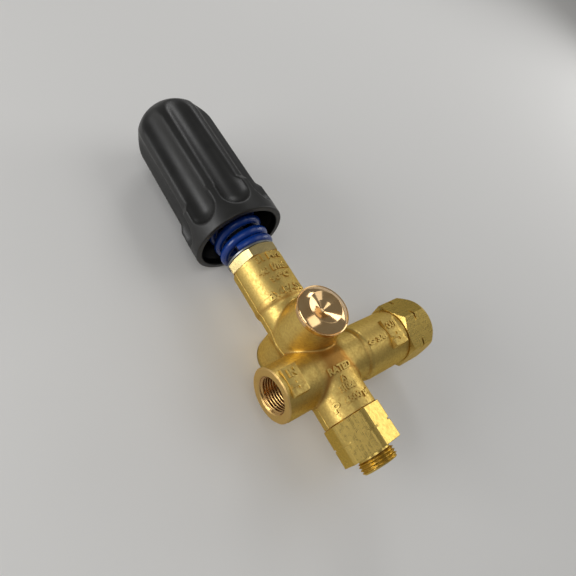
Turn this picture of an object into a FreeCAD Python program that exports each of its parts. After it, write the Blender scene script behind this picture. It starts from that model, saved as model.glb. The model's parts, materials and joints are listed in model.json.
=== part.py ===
import FreeCAD, Part
import math
import os
import Sketcher

# Unloader valve of a pressure washer: a forged brass body with an inlet, an outlet and a
# by-pass port, a domed plug, and a sprung stem that a deep knob loads.
# Millimetres. The origin is the centre of the inlet mouth, +X runs from inlet to outlet
# and +Z runs up the main axis to the knob. The domed plug looks along -Y.
# Heights on the main axis are counted from the crossing with the inlet and outlet axis.

FORGING = (
    ("inlet_reach", 28.0, "crossing to the inlet face"),
    ("outlet_reach", 43.7, "crossing to the outlet end of the forging"),
    ("upper_reach", 56.6, "crossing to the top face"),
    ("lower_reach", 22.4, "crossing to the bottom face"),
    ("plug_boss_reach", 20.6, "main axis to the face of the plug boss"),
    ("bypass_reach", 24.0, "main axis to the by-pass face"),
    ("boss_rise", 18.0, "height of the plug and by-pass axis"),
    ("upper_radius", 12.4, "upper barrel"),
    ("lower_radius", 12.4, "lower barrel"),
    ("neck_radius", 11.3, "neck between the barrels"),
    ("neck_top", 31.6, "height where the neck flares out"),
    ("neck_flare", 1.9, "height of the flare under the upper barrel"),
    ("lower_top", 3.0, "height where the lower barrel ends"),
    ("inlet_radius", 12.1, "inlet barrel"),
    ("waist_radius", 11.4, "branch between crossing and outlet barrel"),
    ("waist_start", 4.0, "where the inlet barrel narrows to the waist"),
    ("outlet_radius", 12.9, "outlet barrel"),
    ("outlet_shoulder", 18.0, "where the outlet barrel starts"),
    ("shoulder_slope", 1.6, "length of the slope onto the outlet barrel"),
    ("plug_boss_radius", 11.6, "boss of the domed plug"),
    ("bypass_radius", 11.8, "boss of the by-pass port"),
    ("blend_radius", 0.8, "forged blend round the crossings"),
    ("pad_length", 7.6, "direction pad along the branch"),
    ("inlet_pad_width", 12.2, "inlet pad across the branch"),
    ("outlet_pad_width", 13.8, "outlet pad across the branch"),
    ("pad_rise", 0.7, "direction pad above its barrel"),
    ("inlet_pad_start", 2.4, "inlet face to its pad"),
    ("outlet_pad_start", 3.4, "outlet end to its pad"),
)
BORES = (
    ("port_radius", 8.33, "wall of the inlet, outlet and by-pass threads"),
    ("port_depth", 12.0, "depth of those threads"),
    ("inlet_passage", 5.5, "radius of the inlet passage"),
    ("outlet_passage", 5.0, "radius of the outlet passage"),
    ("bypass_passage", 5.5, "radius of the by-pass passage"),
    ("pressure_chamber", 7.2, "radius of the chamber under the by-pass seat"),
    ("seat_pocket", 8.2, "radius of the pocket of the by-pass seat"),
    ("seat_floor", 7.5, "height of the floor under the by-pass seat"),
    ("bypass_chamber", 8.6, "radius of the chamber over the by-pass seat"),
    ("gland_thread", 10.5, "radius of the gland thread"),
    ("gland_thread_depth", 11.2, "depth of the gland thread"),
    ("lower_thread", 9.0, "radius of the lower thread"),
    ("lower_thread_depth", 10.0, "depth of the lower thread"),
    ("check_bore", 8.2, "radius of the check valve bore"),
    ("check_floor", 20.0, "crossing to the floor under the check seat"),
    ("outlet_thread", 10.0, "radius of the outlet fitting thread"),
    ("outlet_thread_depth", 10.5, "depth of the outlet fitting thread"),
    ("plug_thread", 8.3, "radius of the plug thread"),
    ("plug_thread_end", 10.8, "main axis to the floor of the plug thread"),
)
CLEARANCES = (
    ("thread_gap", 0.1, "radial gap of screwed pieces"),
    ("slide_gap", 0.1, "radial gap of sliding pieces"),
    ("fixed_gap", 0.05, "radial gap of pieces that sit fast"),
    ("ring_gap", 0.04, "gap round the sealing rings"),
    ("face_gap", 0.1, "gap between faces that part or turn"),
)
SPINDLE = (
    ("stem_radius", 4.0, "stem through the gland, M8"),
    ("stem_waist", 2.6, "stem through the by-pass seat"),
    ("stem_shoulder", 15.5, "height where the stem narrows"),
    ("stem_tip_radius", 2.0, "spigot inside the piston"),
    ("stem_tip_length", 6.0, "length of that spigot"),
    ("stem_end", 1.5, "stem past its nut"),
    ("stem_chamfer", 0.8, "chamfer on the stem's top"),
    ("gland_hex", 23.0, "gland across the flats"),
    ("gland_hex_height", 5.1, "height of the gland's hexagon"),
    ("gland_turn", 58.6, "turn of the gland's corners in degrees"),
    ("gland_shank", 10.9, "gland below the top face"),
    ("gland_groove", 6.0, "radius of the groove inside the gland"),
    ("gland_groove_drop", 7.4, "top face to the foot of that groove"),
    ("gland_groove_width", 3.0, "height of that groove"),
    ("backup_thickness", 0.9, "thickness of the backup rings"),
    ("washer_thickness", 1.0, "washer under the spring"),
    ("washer_radius", 12.2, "outside of that washer"),
    ("spring_length", 47.0, "pressure spring as the photograph shows it"),
    ("spring_coil", 10.9, "radius to the middle of the wire"),
    ("spring_wire", 2.15, "radius of the wire"),
    ("spring_dead_rise", 4.5, "rise of each closed end turn"),
    ("spring_start", -140.0, "direction in which the wire starts in degrees"),
    ("spring_turns", 5.5, "open turns, whole ones and a half"),
    ("plate_thickness", 3.3, "spring plate"),
    ("plate_radius", 13.4, "outside of the spring plate"),
    ("plate_collar", 3.0, "collar of the plate inside the spring"),
    ("collar_gap", 0.6, "collar to the inside of the spring"),
    ("thrust_thickness", 1.0, "thrust washer"),
    ("thrust_radius", 9.6, "outside of the thrust washer"),
    ("insert_hex", 17.0, "knob nut across the flats"),
    ("insert_length", 12.0, "length of the knob nut"),
    ("nut_gap", 0.3, "knob nut to the stem nut"),
    ("nut_hex", 13.0, "stem nut across the flats"),
    ("nut_height", 6.5, "height of the stem nut"),
    ("corner_slope", 30.0, "slope of the turned corners of hexagons in degrees"),
)
KNOB = (
    ("knob_depth", 53.1, "rim to the shoulder over the knob nut"),
    ("knob_grip", 65.3, "rim to the centre of the dome"),
    ("dome_radius", 20.25, "dome and top of the grip"),
    ("grip_foot_radius", 20.75, "grip just above the skirt"),
    ("grip_foot", 21.0, "rim to the foot of the grip"),
    ("skirt_top_radius", 22.4, "skirt at its top"),
    ("skirt_top", 17.6, "rim to the top of the skirt"),
    ("skirt_rim_radius", 22.6, "skirt at its rim"),
    ("skirt_bulge", 60.0, "radius of the skirt's outline"),
    ("rim_round", 0.8, "rounding of the rim"),
    ("mouth_radius", 19.7, "inside of the mouth"),
    ("mouth_depth", 3.5, "straight part of the mouth"),
    ("mouth_taper", 6.0, "height of the taper above it"),
    ("bore_radius", 15.6, "inside of the grip"),
    ("hub_radius", 12.4, "hub that holds the knob nut"),
    ("hub_standoff", 0.5, "foot of the knob nut to the foot of the hub"),
    ("hub_height", 20.0, "foot of the hub to the crown"),
    ("nut_room", 8.0, "radius of the room round the stem nut"),
    ("knob_travel", 10.0, "travel of the knob down its stem"),
    ("flute_count", 8.0, "finger flutes"),
    ("flute_radius", 8.2, "radius of a flute"),
    ("flute_depth", 2.6, "depth of a flute in the grip"),
    ("flute_end", 13.0, "rim to the centre of a flute's round end"),
    ("flute_turn", -145.5, "direction of the first flute in degrees"),
)
LOWER_END = (
    ("seat_height", 5.6, "by-pass seat"),
    ("seat_hole", 5.0, "radius of the hole in the by-pass seat"),
    ("seat_ring_wire", 0.65, "wire of the seat's ring"),
    ("seat_lip", 0.6, "chamfer at the lower edge of the seat's hole"),
    ("shutter_radius", 5.8, "by-pass shutter"),
    ("shutter_height", 4.8, "height of the shutter"),
    ("shutter_hub", 4.0, "radius of the shutter's hub"),
    ("piston_radius", 5.4, "pilot piston"),
    ("piston_length", 9.0, "length of the piston"),
    ("piston_top", 14.0, "crossing down to the top of the piston"),
    ("piston_groove", 3.9, "radius of the piston's groove"),
    ("piston_groove_drop", 3.1, "top of the piston to its groove"),
    ("piston_groove_width", 2.8, "height of the groove"),
    ("sleeve_depth", 8.0, "bottom face to the floor of the piston's bore"),
    ("lower_shank", 9.8, "lower fitting above the bottom face"),
    ("lower_hex", 24.0, "lower fitting across the flats"),
    ("lower_hex_radius", 13.25, "turned corners of that hexagon"),
    ("lower_hex_height", 16.6, "height of that hexagon"),
    ("lower_turn", 18.0, "turn of its corners in degrees"),
    ("notch_depth", 0.5, "ring turned into the corners"),
    ("notch_width", 0.9, "width of that ring"),
    ("lower_notch", 8.1, "bottom face to the ring on the lower fitting"),
    ("stub_radius", 8.33, "threaded stub, G3/8"),
    ("stub_length", 6.0, "stub below the hexagon"),
    ("stub_relief", 1.2, "undercut behind the stub"),
    ("stub_relief_depth", 1.2, "depth of the undercut"),
    ("stub_bore", 2.5, "radius of the bore of the stub"),
    ("stub_chamfer", 1.0, "chamfer on the stub"),
    ("shank_ring_wire", 0.8, "wire of the rings on the shanks"),
    ("shank_groove_width", 2.2, "width of the grooves on the shanks"),
    ("shank_groove_set", 1.6, "end of a shank to its groove"),
)
OUTLET_END = (
    ("outlet_hex", 27.0, "outlet fitting across the flats"),
    ("outlet_hex_length", 17.5, "length of that hexagon"),
    ("outlet_end_slope", 58.0, "slope of the cone on its far corners in degrees"),
    ("outlet_turn", 23.0, "turn of its corners in degrees"),
    ("outlet_shank", 10.3, "outlet fitting inside the body"),
    ("outlet_notch", 7.3, "end of the forging to the ring in the corners"),
    ("outlet_notch_depth", 1.4, "depth of that ring"),
    ("check_well", 6.6, "radius of the well round the check spring"),
    ("check_well_depth", 6.8, "depth of that well"),
    ("check_seat_length", 4.0, "check seat"),
    ("check_hole", 4.5, "radius of the hole in the check seat"),
    ("check_head", 6.0, "radius of the poppet's head"),
    ("check_head_length", 2.2, "length of the head"),
    ("check_spigot", 3.4, "radius of the spigot inside the spring"),
    ("check_spigot_length", 4.5, "length of that spigot"),
    ("check_wing_width", 1.6, "thickness of a wing"),
    ("check_wire", 0.5, "wire radius of the check spring"),
    ("check_turns", 5.0, "turns of the check spring"),
)
PLUG = (
    ("plug_washer_thickness", 1.2, "washer under the plug"),
    ("plug_washer_radius", 11.45, "outside of that washer"),
    ("flange_radius", 11.8, "flange of the plug"),
    ("flange_thickness", 1.5, "its thickness"),
    ("plug_step", 0.7, "flange outside the dome"),
    ("plug_dome_height", 2.5, "dome over the flange"),
    ("plug_dome_radius", 16.5, "radius of the dome's outline"),
    ("dish_radius", 7.4, "dish in the dome"),
    ("dish_depth", 3.4, "its depth"),
    ("plug_core", 5.4, "radius of the hollow in the plug"),
    ("plug_core_depth", 7.0, "depth of that hollow"),
)
ALL_SIZES = FORGING + BORES + CLEARANCES + SPINDLE + KNOB + LOWER_END + OUTLET_END + PLUG


class Size:
    """A number together with the sheet formula that gives it."""

    def __init__(self, number, formula):
        self.number = number
        self.formula = formula

    def __add__(self, other):
        other = as_size(other)
        return Size(self.number + other.number, f"({self.formula} + {other.formula})")

    def __sub__(self, other):
        other = as_size(other)
        return Size(self.number - other.number, f"({self.formula} - {other.formula})")

    def __mul__(self, other):
        other = as_size(other)
        return Size(self.number * other.number, f"({self.formula} * {other.formula})")

    def __truediv__(self, other):
        other = as_size(other)
        return Size(self.number / other.number, f"({self.formula} / {other.formula})")

    def __neg__(self):
        return Size(-self.number, f"(-1 * {self.formula})")

    def root(self):
        return Size(math.sqrt(self.number), f"sqrt({self.formula})")

    def cosine(self):
        return Size(math.cos(math.radians(self.number)), f"cos({self.formula})")

    def sine(self):
        return Size(math.sin(math.radians(self.number)), f"sin({self.formula})")


def as_size(number):
    """Wrap a plain number; a Size comes back unchanged."""
    if isinstance(number, Size):
        return number
    return Size(float(number), repr(float(number)))


doc = FreeCAD.newDocument("unloader_valve")
sheet = doc.addObject("Spreadsheet::Sheet", "Sizes")
for row, (alias, number, meaning) in enumerate(ALL_SIZES, start=1):
    sheet.set(f"A{row}", meaning)
    sheet.set(f"B{row}", str(number))
    sheet.setAlias(f"B{row}", alias)
doc.recompute()


def size(alias):
    """A driving dimension of the sheet."""
    return Size(float(sheet.get(alias)), f"Sizes.{alias}")


S = {alias: size(alias) for alias, number, meaning in ALL_SIZES}
CENTRE = (S["inlet_reach"], 0, 0)
AXIS_Y = FreeCAD.Vector(0, 1, 0)
AXIS_X = FreeCAD.Vector(1, 0, 0)
UPRIGHT = FreeCAD.Rotation()
TO_OUTLET = FreeCAD.Rotation(AXIS_Y, 90)
TO_FRONT = FreeCAD.Rotation(AXIS_X, 90)
HEX_SIDES = 6
parts = []


def place(thing, base, turn=UPRIGHT):
    """Turn a sub-part and bind its place to the sheet."""
    thing.Placement = FreeCAD.Placement(FreeCAD.Vector(0, 0, 0), turn)
    for letter, distance in zip("xyz", base):
        distance = as_size(distance)
        if distance.number:
            thing.setExpression(f"Placement.Base.{letter}", distance.formula)


def new_body(label, base=CENTRE, turn=UPRIGHT):
    """An empty body for one sub-part."""
    body = doc.addObject("PartDesign::Body", label)
    body.Label = label
    place(body, base, turn)
    parts.append(body)
    return body


def datum(body, role):
    """One of the body's origin planes or axes."""
    return next(item for item in body.Origin.OriginFeatures if item.Role == role)


def new_sketch(body, name, role, shift=(0, 0, 0)):
    """A sketch on one of the body's origin planes, shifted in the plane or along its normal."""
    sketch = body.newObject("Sketcher::SketchObject", f"{body.Label}_{name}")
    sketch.AttachmentSupport = [(datum(body, role), "")]
    sketch.MapMode = "FlatFace"
    for letter, distance in zip("xyz", shift):
        distance = as_size(distance)
        if distance.number:
            sketch.setExpression(f"AttachmentOffset.Base.{letter}", distance.formula)
    return sketch


def bind(sketch, kind, spot, value):
    """One dimension of a sketch, bound to the sheet."""
    index = sketch.addConstraint(Sketcher.Constraint(kind, *spot, value.number))
    sketch.setExpression(f"Constraints[{index}]", value.formula)


def arc_between(start, end, radius):
    """The short arc that bows to the right of the way from start to end."""
    chord = end - start
    aside = FreeCAD.Vector(chord.y, -chord.x, 0) / chord.Length
    reach = math.sqrt(max(radius * radius - chord.Length ** 2 / 4, 0.0))
    crown = (start + end) * 0.5 + aside * (radius - reach)
    return Part.Arc(start, crown, end)


def draw_outline(sketch, corners):
    """A closed outline; a corner is (across, up) or (across, up, radius of the arc that follows)."""
    spots = [(as_size(corner[0]), as_size(corner[1])) for corner in corners]
    vectors = [FreeCAD.Vector(across.number, up.number, 0) for across, up in spots]
    count = len(corners)
    for index, corner in enumerate(corners):
        start, end = vectors[index], vectors[(index + 1) % count]
        if len(corner) == 3:
            edge = arc_between(start, end, corner[2].number)
        else:
            edge = Part.LineSegment(start, end)
        sketch.addGeometry(edge, False)
    for index in range(count):
        arc = len(corners[index]) == 3
        nxt = (index + 1) % count
        clockwise = arc and sketch.Geometry[index].StartPoint.distanceToPoint(vectors[index]) > 1e-6
        last_end = 1 if clockwise else 2
        next_arc = len(corners[nxt]) == 3
        next_turned = next_arc and sketch.Geometry[nxt].StartPoint.distanceToPoint(vectors[nxt]) > 1e-6
        next_start = 2 if next_turned else 1
        sketch.addConstraint(Sketcher.Constraint("Coincident", index, last_end, nxt, next_start))
    for index, (across, up) in enumerate(spots):
        arc = len(corners[index]) == 3
        turned = arc and sketch.Geometry[index].StartPoint.distanceToPoint(vectors[index]) > 1e-6
        end = 2 if turned else 1
        for kind, value, axis in (("DistanceX", across, -2), ("DistanceY", up, -1)):
            if value.formula == "0.0":
                sketch.addConstraint(Sketcher.Constraint("PointOnObject", index, end, axis))
            else:
                bind(sketch, kind, (-1, 1, index, end), value)
        if arc:
            bind(sketch, "Radius", (index,), corners[index][2])


def revolve(body, name, corners, cut=False, role="XZ_Plane", shift=(0, 0, 0), axis="V_Axis"):
    """Turn an outline round an axis of its own sketch, to add or to cut."""
    sketch = new_sketch(body, f"{name}_outline", role, shift)
    draw_outline(sketch, corners)
    kind = "PartDesign::Groove" if cut else "PartDesign::Revolution"
    feature = body.newObject(kind, f"{body.Label}_{name}")
    feature.Profile = (sketch, [""])
    feature.ReferenceAxis = (sketch, [axis])
    feature.Angle = 360
    return feature


def extrude(body, name, corners, depth, cut=False, shift=(0, 0, 0), role="XY_Plane", backwards=False):
    """Pad or pocket an outline."""
    sketch = new_sketch(body, f"{name}_outline", role, shift)
    draw_outline(sketch, corners)
    kind = "PartDesign::Pocket" if cut else "PartDesign::Pad"
    feature = body.newObject(kind, f"{body.Label}_{name}")
    feature.Profile = (sketch, [""])
    feature.setExpression("Length", depth.formula)
    feature.Reversed = backwards
    return feature


def hexagon(across_flats, turn):
    """Six corners; turn is the direction of the first corner in degrees."""
    corner = across_flats / as_size(3).root()
    directions = [turn + 360 / HEX_SIDES * side for side in range(HEX_SIDES)]
    return [(corner * way.cosine(), corner * way.sine()) for way in directions]


def turned(label, corners, base=CENTRE, turn=UPRIGHT):
    """A sub-part turned on a lathe; corners are (radius, height)."""
    body = new_body(label, base, turn)
    revolve(body, "turning", corners)
    return body


def box_outline(inner, outer, low, high):
    """Outline of a plain ring."""
    return [(inner, low), (outer, low), (outer, high), (inner, high)]


def ring_groove(body, name, inner, outer, low, high):
    """A rectangular groove turned round the body's own axis."""
    revolve(body, name, [(inner, low), (outer, low), (outer, high), (inner, high)], cut=True)


def round_corners(body, across_flats, foot=None, top=None, slope=None):
    """Turn the end corners of a hexagon down to cones from the middle of its flats; slope is that of the top."""
    flat = across_flats / 2
    drop = flat * S["corner_slope"].sine() / S["corner_slope"].cosine()
    if foot is not None:
        revolve(body, "foot_corners", [(flat, foot), (across_flats, foot), (across_flats, foot + drop)], cut=True)
    if top is not None:
        slope = slope or S["corner_slope"]
        drop = flat * slope.sine() / slope.cosine()
        revolve(body, "top_corners", [(flat, top), (across_flats, top - drop), (across_flats, top)], cut=True)


def o_ring(label, inner, outer, height, base=CENTRE, turn=UPRIGHT):
    """A sealing ring between two radii, at a height along its axis."""
    ring = doc.addObject("Part::Torus", label)
    ring.Label = label
    wire = (outer - inner) / 2 - S["ring_gap"]
    ring.setExpression("Radius1", ((outer + inner) / 2).formula)
    ring.setExpression("Radius2", wire.formula)
    along = turn.multVec(FreeCAD.Vector(0, 0, 1))
    spot = [as_size(part) + height * step if step else as_size(part)
            for part, step in zip(base, (round(along.x), round(along.y), round(along.z)))]
    place(ring, spot, turn)
    parts.append(ring)
    return ring


def helix_run(body, name, coil, wire, start, rise, turns, left=False):
    """One run of a coil spring that starts at the given height."""
    sketch = new_sketch(body, f"{name}_wire", "XZ_Plane")
    sketch.addGeometry(Part.Circle(FreeCAD.Vector(coil.number, start.number, 0),
                                   FreeCAD.Vector(0, 0, 1), wire.number), False)
    bind(sketch, "DistanceX", (-1, 1, 0, 3), coil)
    bind(sketch, "DistanceY", (-1, 1, 0, 3), start)
    bind(sketch, "Radius", (0,), wire)
    run = body.newObject("PartDesign::AdditiveHelix", f"{body.Label}_{name}")
    run.Profile = (sketch, [""])
    run.ReferenceAxis = (sketch, ["V_Axis"])
    run.Mode = 1
    run.setExpression("Pitch", rise.formula)
    run.setExpression("Turns", turns.formula)
    run.LeftHanded = left
    return run


# Heights that more than one sub-part shares.
TOP = S["upper_reach"]
BOTTOM = -S["lower_reach"]
SPRING_FOOT = TOP + S["gland_hex_height"] + S["washer_thickness"]
SPRING_TOP = SPRING_FOOT + S["spring_length"]
PLATE_TOP = SPRING_TOP + S["plate_thickness"]
INSERT_FOOT = PLATE_TOP + S["thrust_thickness"] + S["face_gap"]
INSERT_TOP = INSERT_FOOT + S["insert_length"]
NUT_FOOT = INSERT_TOP + S["nut_gap"]
STEM_TOP = NUT_FOOT + S["nut_height"] + S["stem_end"]
RIM = INSERT_TOP - S["knob_depth"]
PISTON_TOP = -S["piston_top"]
SHUTTER_TOP = S["seat_floor"] - S["face_gap"]
STEM_BORE = S["stem_radius"] + S["slide_gap"]


def barrel_crossings(shape):
    """Edges where the branch meets the lower barrel, and the plug boss the neck above its axis."""
    wanted = []
    for number, edge in enumerate(shape.Edges, start=1):
        sides = [face.Surface for face in shape.ancestorsOfType(edge, Part.Face)]
        radii = sorted(round(side.Radius, 3) for side in sides if isinstance(side, Part.Cylinder))
        low = edge.CenterOfMass.z < 0
        high = edge.CenterOfMass.z > S["boss_rise"].number
        branch = (S["inlet_radius"].number, S["waist_radius"].number)
        if len(radii) == 2 and low and S["lower_radius"].number in radii and set(radii) & set(branch):
            wanted.append(f"Edge{number}")
        elif high and radii == sorted((S["neck_radius"].number, S["plug_boss_radius"].number)):
            wanted.append(f"Edge{number}")
    return wanted


def make_valve_body():
    """Forged cross with machined bores."""
    body = new_body("valve_body")
    upper, neck, lower = S["upper_radius"], S["neck_radius"], S["lower_radius"]
    revolve(body, "barrels", [
        (0, BOTTOM), (lower, BOTTOM), (lower, S["lower_top"] - S["neck_flare"]), (neck, S["lower_top"]),
        (neck, S["neck_top"]), (upper, S["neck_top"] + S["neck_flare"]), (upper, TOP), (0, TOP)])
    slope = S["shoulder_slope"]
    revolve(body, "branch", [
        (-S["inlet_reach"], 0), (S["outlet_reach"], 0), (S["outlet_reach"], S["outlet_radius"]),
        (S["outlet_shoulder"] + slope, S["outlet_radius"]), (S["outlet_shoulder"], S["waist_radius"]),
        (S["waist_start"] + slope, S["waist_radius"]), (S["waist_start"], S["inlet_radius"]),
        (-S["inlet_reach"], S["inlet_radius"])], axis="H_Axis")
    raised = (0, S["boss_rise"], 0)
    revolve(body, "bosses", [
        (-S["plug_boss_reach"], 0), (S["bypass_reach"], 0), (S["bypass_reach"], S["bypass_radius"]),
        (0, S["bypass_radius"]), (0, S["plug_boss_radius"]), (-S["plug_boss_reach"], S["plug_boss_radius"])],
        role="YZ_Plane", shift=raised, axis="H_Axis")
    inlet_pad = -S["inlet_reach"] + S["inlet_pad_start"]
    outlet_pad = S["outlet_reach"] - S["outlet_pad_start"]
    for name, near, far, rise in (
            ("inlet_pad", inlet_pad, inlet_pad + S["pad_length"], S["inlet_radius"] + S["pad_rise"]),
            ("outlet_pad", outlet_pad - S["pad_length"], outlet_pad, S["outlet_radius"] + S["pad_rise"])):
        half = S[f"{name}_width"] / 2
        extrude(body, name, [(near, -half), (far, -half), (far, half), (near, half)], rise, role="XZ_Plane")
    doc.recompute()
    blend = body.newObject("PartDesign::Fillet", "valve_body_blends")
    pads = body.Group[-2]
    blend.Base = (pads, barrel_crossings(pads.Shape))
    blend.setExpression("Radius", S["blend_radius"].formula)
    port, passage = S["port_radius"], S["inlet_passage"]
    thread_foot = BOTTOM + S["lower_thread_depth"]
    seat_top = S["seat_floor"] + S["seat_height"]
    gland_floor = TOP - S["gland_thread_depth"]
    revolve(body, "main_bore", [
        (0, BOTTOM), (S["lower_thread"], BOTTOM), (S["lower_thread"], thread_foot),
        (S["pressure_chamber"], thread_foot), (S["pressure_chamber"], S["seat_floor"]),
        (S["seat_pocket"], S["seat_floor"]), (S["seat_pocket"], seat_top),
        (S["bypass_chamber"], seat_top), (S["bypass_chamber"], gland_floor),
        (S["gland_thread"], gland_floor), (S["gland_thread"], TOP), (0, TOP)], cut=True)
    inlet_floor = -S["inlet_reach"] + S["port_depth"]
    outlet_floor = S["outlet_reach"] - S["outlet_thread_depth"]
    revolve(body, "branch_bore", [
        (-S["inlet_reach"], 0), (S["outlet_reach"], 0), (S["outlet_reach"], S["outlet_thread"]),
        (outlet_floor, S["outlet_thread"]), (outlet_floor, S["check_bore"]),
        (S["check_floor"], S["check_bore"]), (S["check_floor"], S["outlet_passage"]),
        (0, S["outlet_passage"]), (0, passage), (inlet_floor, passage), (inlet_floor, port),
        (-S["inlet_reach"], port)], cut=True, axis="H_Axis")
    plug_floor = -S["plug_thread_end"]
    port_floor = S["bypass_reach"] - S["port_depth"]
    revolve(body, "boss_bore", [
        (-S["plug_boss_reach"], 0), (S["bypass_reach"], 0), (S["bypass_reach"], port),
        (port_floor, port), (port_floor, S["bypass_passage"]), (plug_floor, S["bypass_passage"]),
        (plug_floor, S["plug_thread"]), (-S["plug_boss_reach"], S["plug_thread"])],
        cut=True, role="YZ_Plane", shift=raised, axis="H_Axis")


def make_gland():
    """Gland nut with its seal, screwed into the top of the body."""
    body = new_body("gland_nut")
    face = TOP + S["gland_hex_height"]
    extrude(body, "hexagon", hexagon(S["gland_hex"], S["gland_turn"]), S["gland_hex_height"], shift=(0, 0, TOP))
    shank = S["gland_thread"] - S["thread_gap"]
    revolve(body, "shank", [(0, TOP - S["gland_shank"]), (shank, TOP - S["gland_shank"]), (shank, TOP), (0, TOP)])
    low = TOP - S["gland_groove_drop"]
    high = low + S["gland_groove_width"]
    revolve(body, "bore", [
        (0, TOP - S["gland_shank"]), (STEM_BORE, TOP - S["gland_shank"]), (STEM_BORE, low),
        (S["gland_groove"], low), (S["gland_groove"], high), (STEM_BORE, high), (STEM_BORE, face), (0, face)],
        cut=True)
    round_corners(body, S["gland_hex"], top=face)
    backup_foot = high - S["backup_thickness"]
    turned("gland_backup_ring", box_outline(
        S["stem_radius"] + S["slide_gap"], S["gland_groove"] - S["ring_gap"], backup_foot, high - S["ring_gap"]))
    o_ring("gland_o_ring", S["stem_radius"] + S["ring_gap"], S["gland_groove"], (low + backup_foot) / 2)


def make_spring_stack():
    """Washer, pressure spring, spring plate and thrust washer over the gland."""
    washer_foot = TOP + S["gland_hex_height"]
    bore = S["stem_radius"] + S["collar_gap"]
    turned("lower_spring_washer", box_outline(bore, S["washer_radius"], washer_foot, SPRING_FOOT))
    start = FreeCAD.Rotation(FreeCAD.Vector(0, 0, 1), S["spring_start"].number)
    body = new_body("pressure_spring", turn=start)
    wire = S["spring_wire"]
    low = SPRING_FOOT + wire
    dead = S["spring_dead_rise"]
    one = as_size(1)
    open_rise = (S["spring_length"] - wire * 2 - dead * 2) / S["spring_turns"]
    helix_run(body, "lower_end", S["spring_coil"], wire, low, dead, one)
    helix_run(body, "open_turns", S["spring_coil"], wire, low + dead, open_rise, S["spring_turns"])
    # The half turn makes the open turns end opposite to where they start.
    helix_run(body, "upper_end", -S["spring_coil"], wire, SPRING_TOP - wire - dead, dead, one)
    collar = S["spring_coil"] - wire - S["collar_gap"]
    turned("spring_plate", [
        (STEM_BORE, SPRING_TOP - S["plate_collar"]), (collar, SPRING_TOP - S["plate_collar"]),
        (collar, SPRING_TOP), (S["plate_radius"], SPRING_TOP), (S["plate_radius"], PLATE_TOP),
        (STEM_BORE, PLATE_TOP)])
    turned("thrust_washer", box_outline(
        bore, S["thrust_radius"], PLATE_TOP, PLATE_TOP + S["thrust_thickness"]))


def make_stem():
    """Stem with its nut on top."""
    shoulder = S["stem_shoulder"]
    radius, waist, tip = S["stem_radius"], S["stem_waist"], S["stem_tip_radius"]
    tip_foot = PISTON_TOP - S["stem_tip_length"]
    chamfer = S["stem_chamfer"]
    turned("stem", [
        (0, tip_foot), (tip, tip_foot), (tip, PISTON_TOP), (waist, PISTON_TOP), (waist, shoulder - radius + waist),
        (radius, shoulder), (radius, STEM_TOP - chamfer), (radius - chamfer, STEM_TOP), (0, STEM_TOP)])
    body = new_body("stem_nut")
    extrude(body, "hexagon", hexagon(S["nut_hex"], S["gland_turn"]), S["nut_height"], shift=(0, 0, NUT_FOOT))
    bore = radius + S["fixed_gap"]
    revolve(body, "bore", [(0, NUT_FOOT), (bore, NUT_FOOT), (bore, STEM_TOP), (0, STEM_TOP)], cut=True)
    round_corners(body, S["nut_hex"], NUT_FOOT, NUT_FOOT + S["nut_height"])


def make_knob():
    """Deep fluted knob and the brass nut inside it."""
    insert = new_body("knob_insert")
    extrude(insert, "hexagon", hexagon(S["insert_hex"], S["gland_turn"]), S["insert_length"],
            shift=(0, 0, INSERT_FOOT))
    bore = S["stem_radius"] + S["slide_gap"]
    revolve(insert, "bore", [(0, INSERT_FOOT), (bore, INSERT_FOOT), (bore, INSERT_TOP), (0, INSERT_TOP)], cut=True)

    knob = new_body("adjusting_knob")
    rim_round, grip_foot = S["rim_round"], RIM + S["grip_foot"]
    dome = RIM + S["knob_grip"]
    hub_foot = INSERT_FOOT + S["hub_standoff"]
    crown = hub_foot + S["hub_height"]
    taper_foot = RIM + S["mouth_depth"]
    hollow_top = STEM_TOP + S["stem_end"] + S["knob_travel"]
    revolve(knob, "shell", [
        (S["mouth_radius"], RIM), (S["skirt_rim_radius"] - rim_round, RIM),
        (S["skirt_rim_radius"], RIM + rim_round, S["skirt_bulge"]), (S["skirt_top_radius"], RIM + S["skirt_top"]),
        (S["grip_foot_radius"], grip_foot), (S["dome_radius"], dome, S["dome_radius"]),
        (0, dome + S["dome_radius"]), (0, hollow_top), (S["nut_room"], hollow_top),
        (S["nut_room"], hub_foot), (S["hub_radius"], hub_foot), (S["hub_radius"], crown),
        (S["bore_radius"], crown), (S["bore_radius"], taper_foot + S["mouth_taper"]),
        (S["mouth_radius"], taper_foot)])
    doc.recompute()
    socket = S["insert_hex"] + S["fixed_gap"] * 2
    extrude(knob, "socket", hexagon(socket, S["gland_turn"]), INSERT_TOP - hub_foot, cut=True,
            shift=(0, 0, hub_foot), backwards=True)
    flute, reach = S["flute_radius"], S["dome_radius"] - S["flute_depth"] + S["flute_radius"]
    end = RIM + S["flute_end"]
    above = dome + S["dome_radius"]
    first = revolve(knob, "flute", [
        (0, end - flute, flute), (flute, end), (flute, above), (0, above)], cut=True,
        shift=(reach * S["flute_turn"].cosine(), 0, -reach * S["flute_turn"].sine()))
    doc.recompute()
    flutes = knob.newObject("PartDesign::PolarPattern", "adjusting_knob_flutes")
    flutes.Originals = [first]
    flutes.Axis = (datum(knob, "Z_Axis"), [""])
    flutes.Angle = 360
    flutes.setExpression("Occurrences", S["flute_count"].formula)
    knob.Tip = flutes


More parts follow.
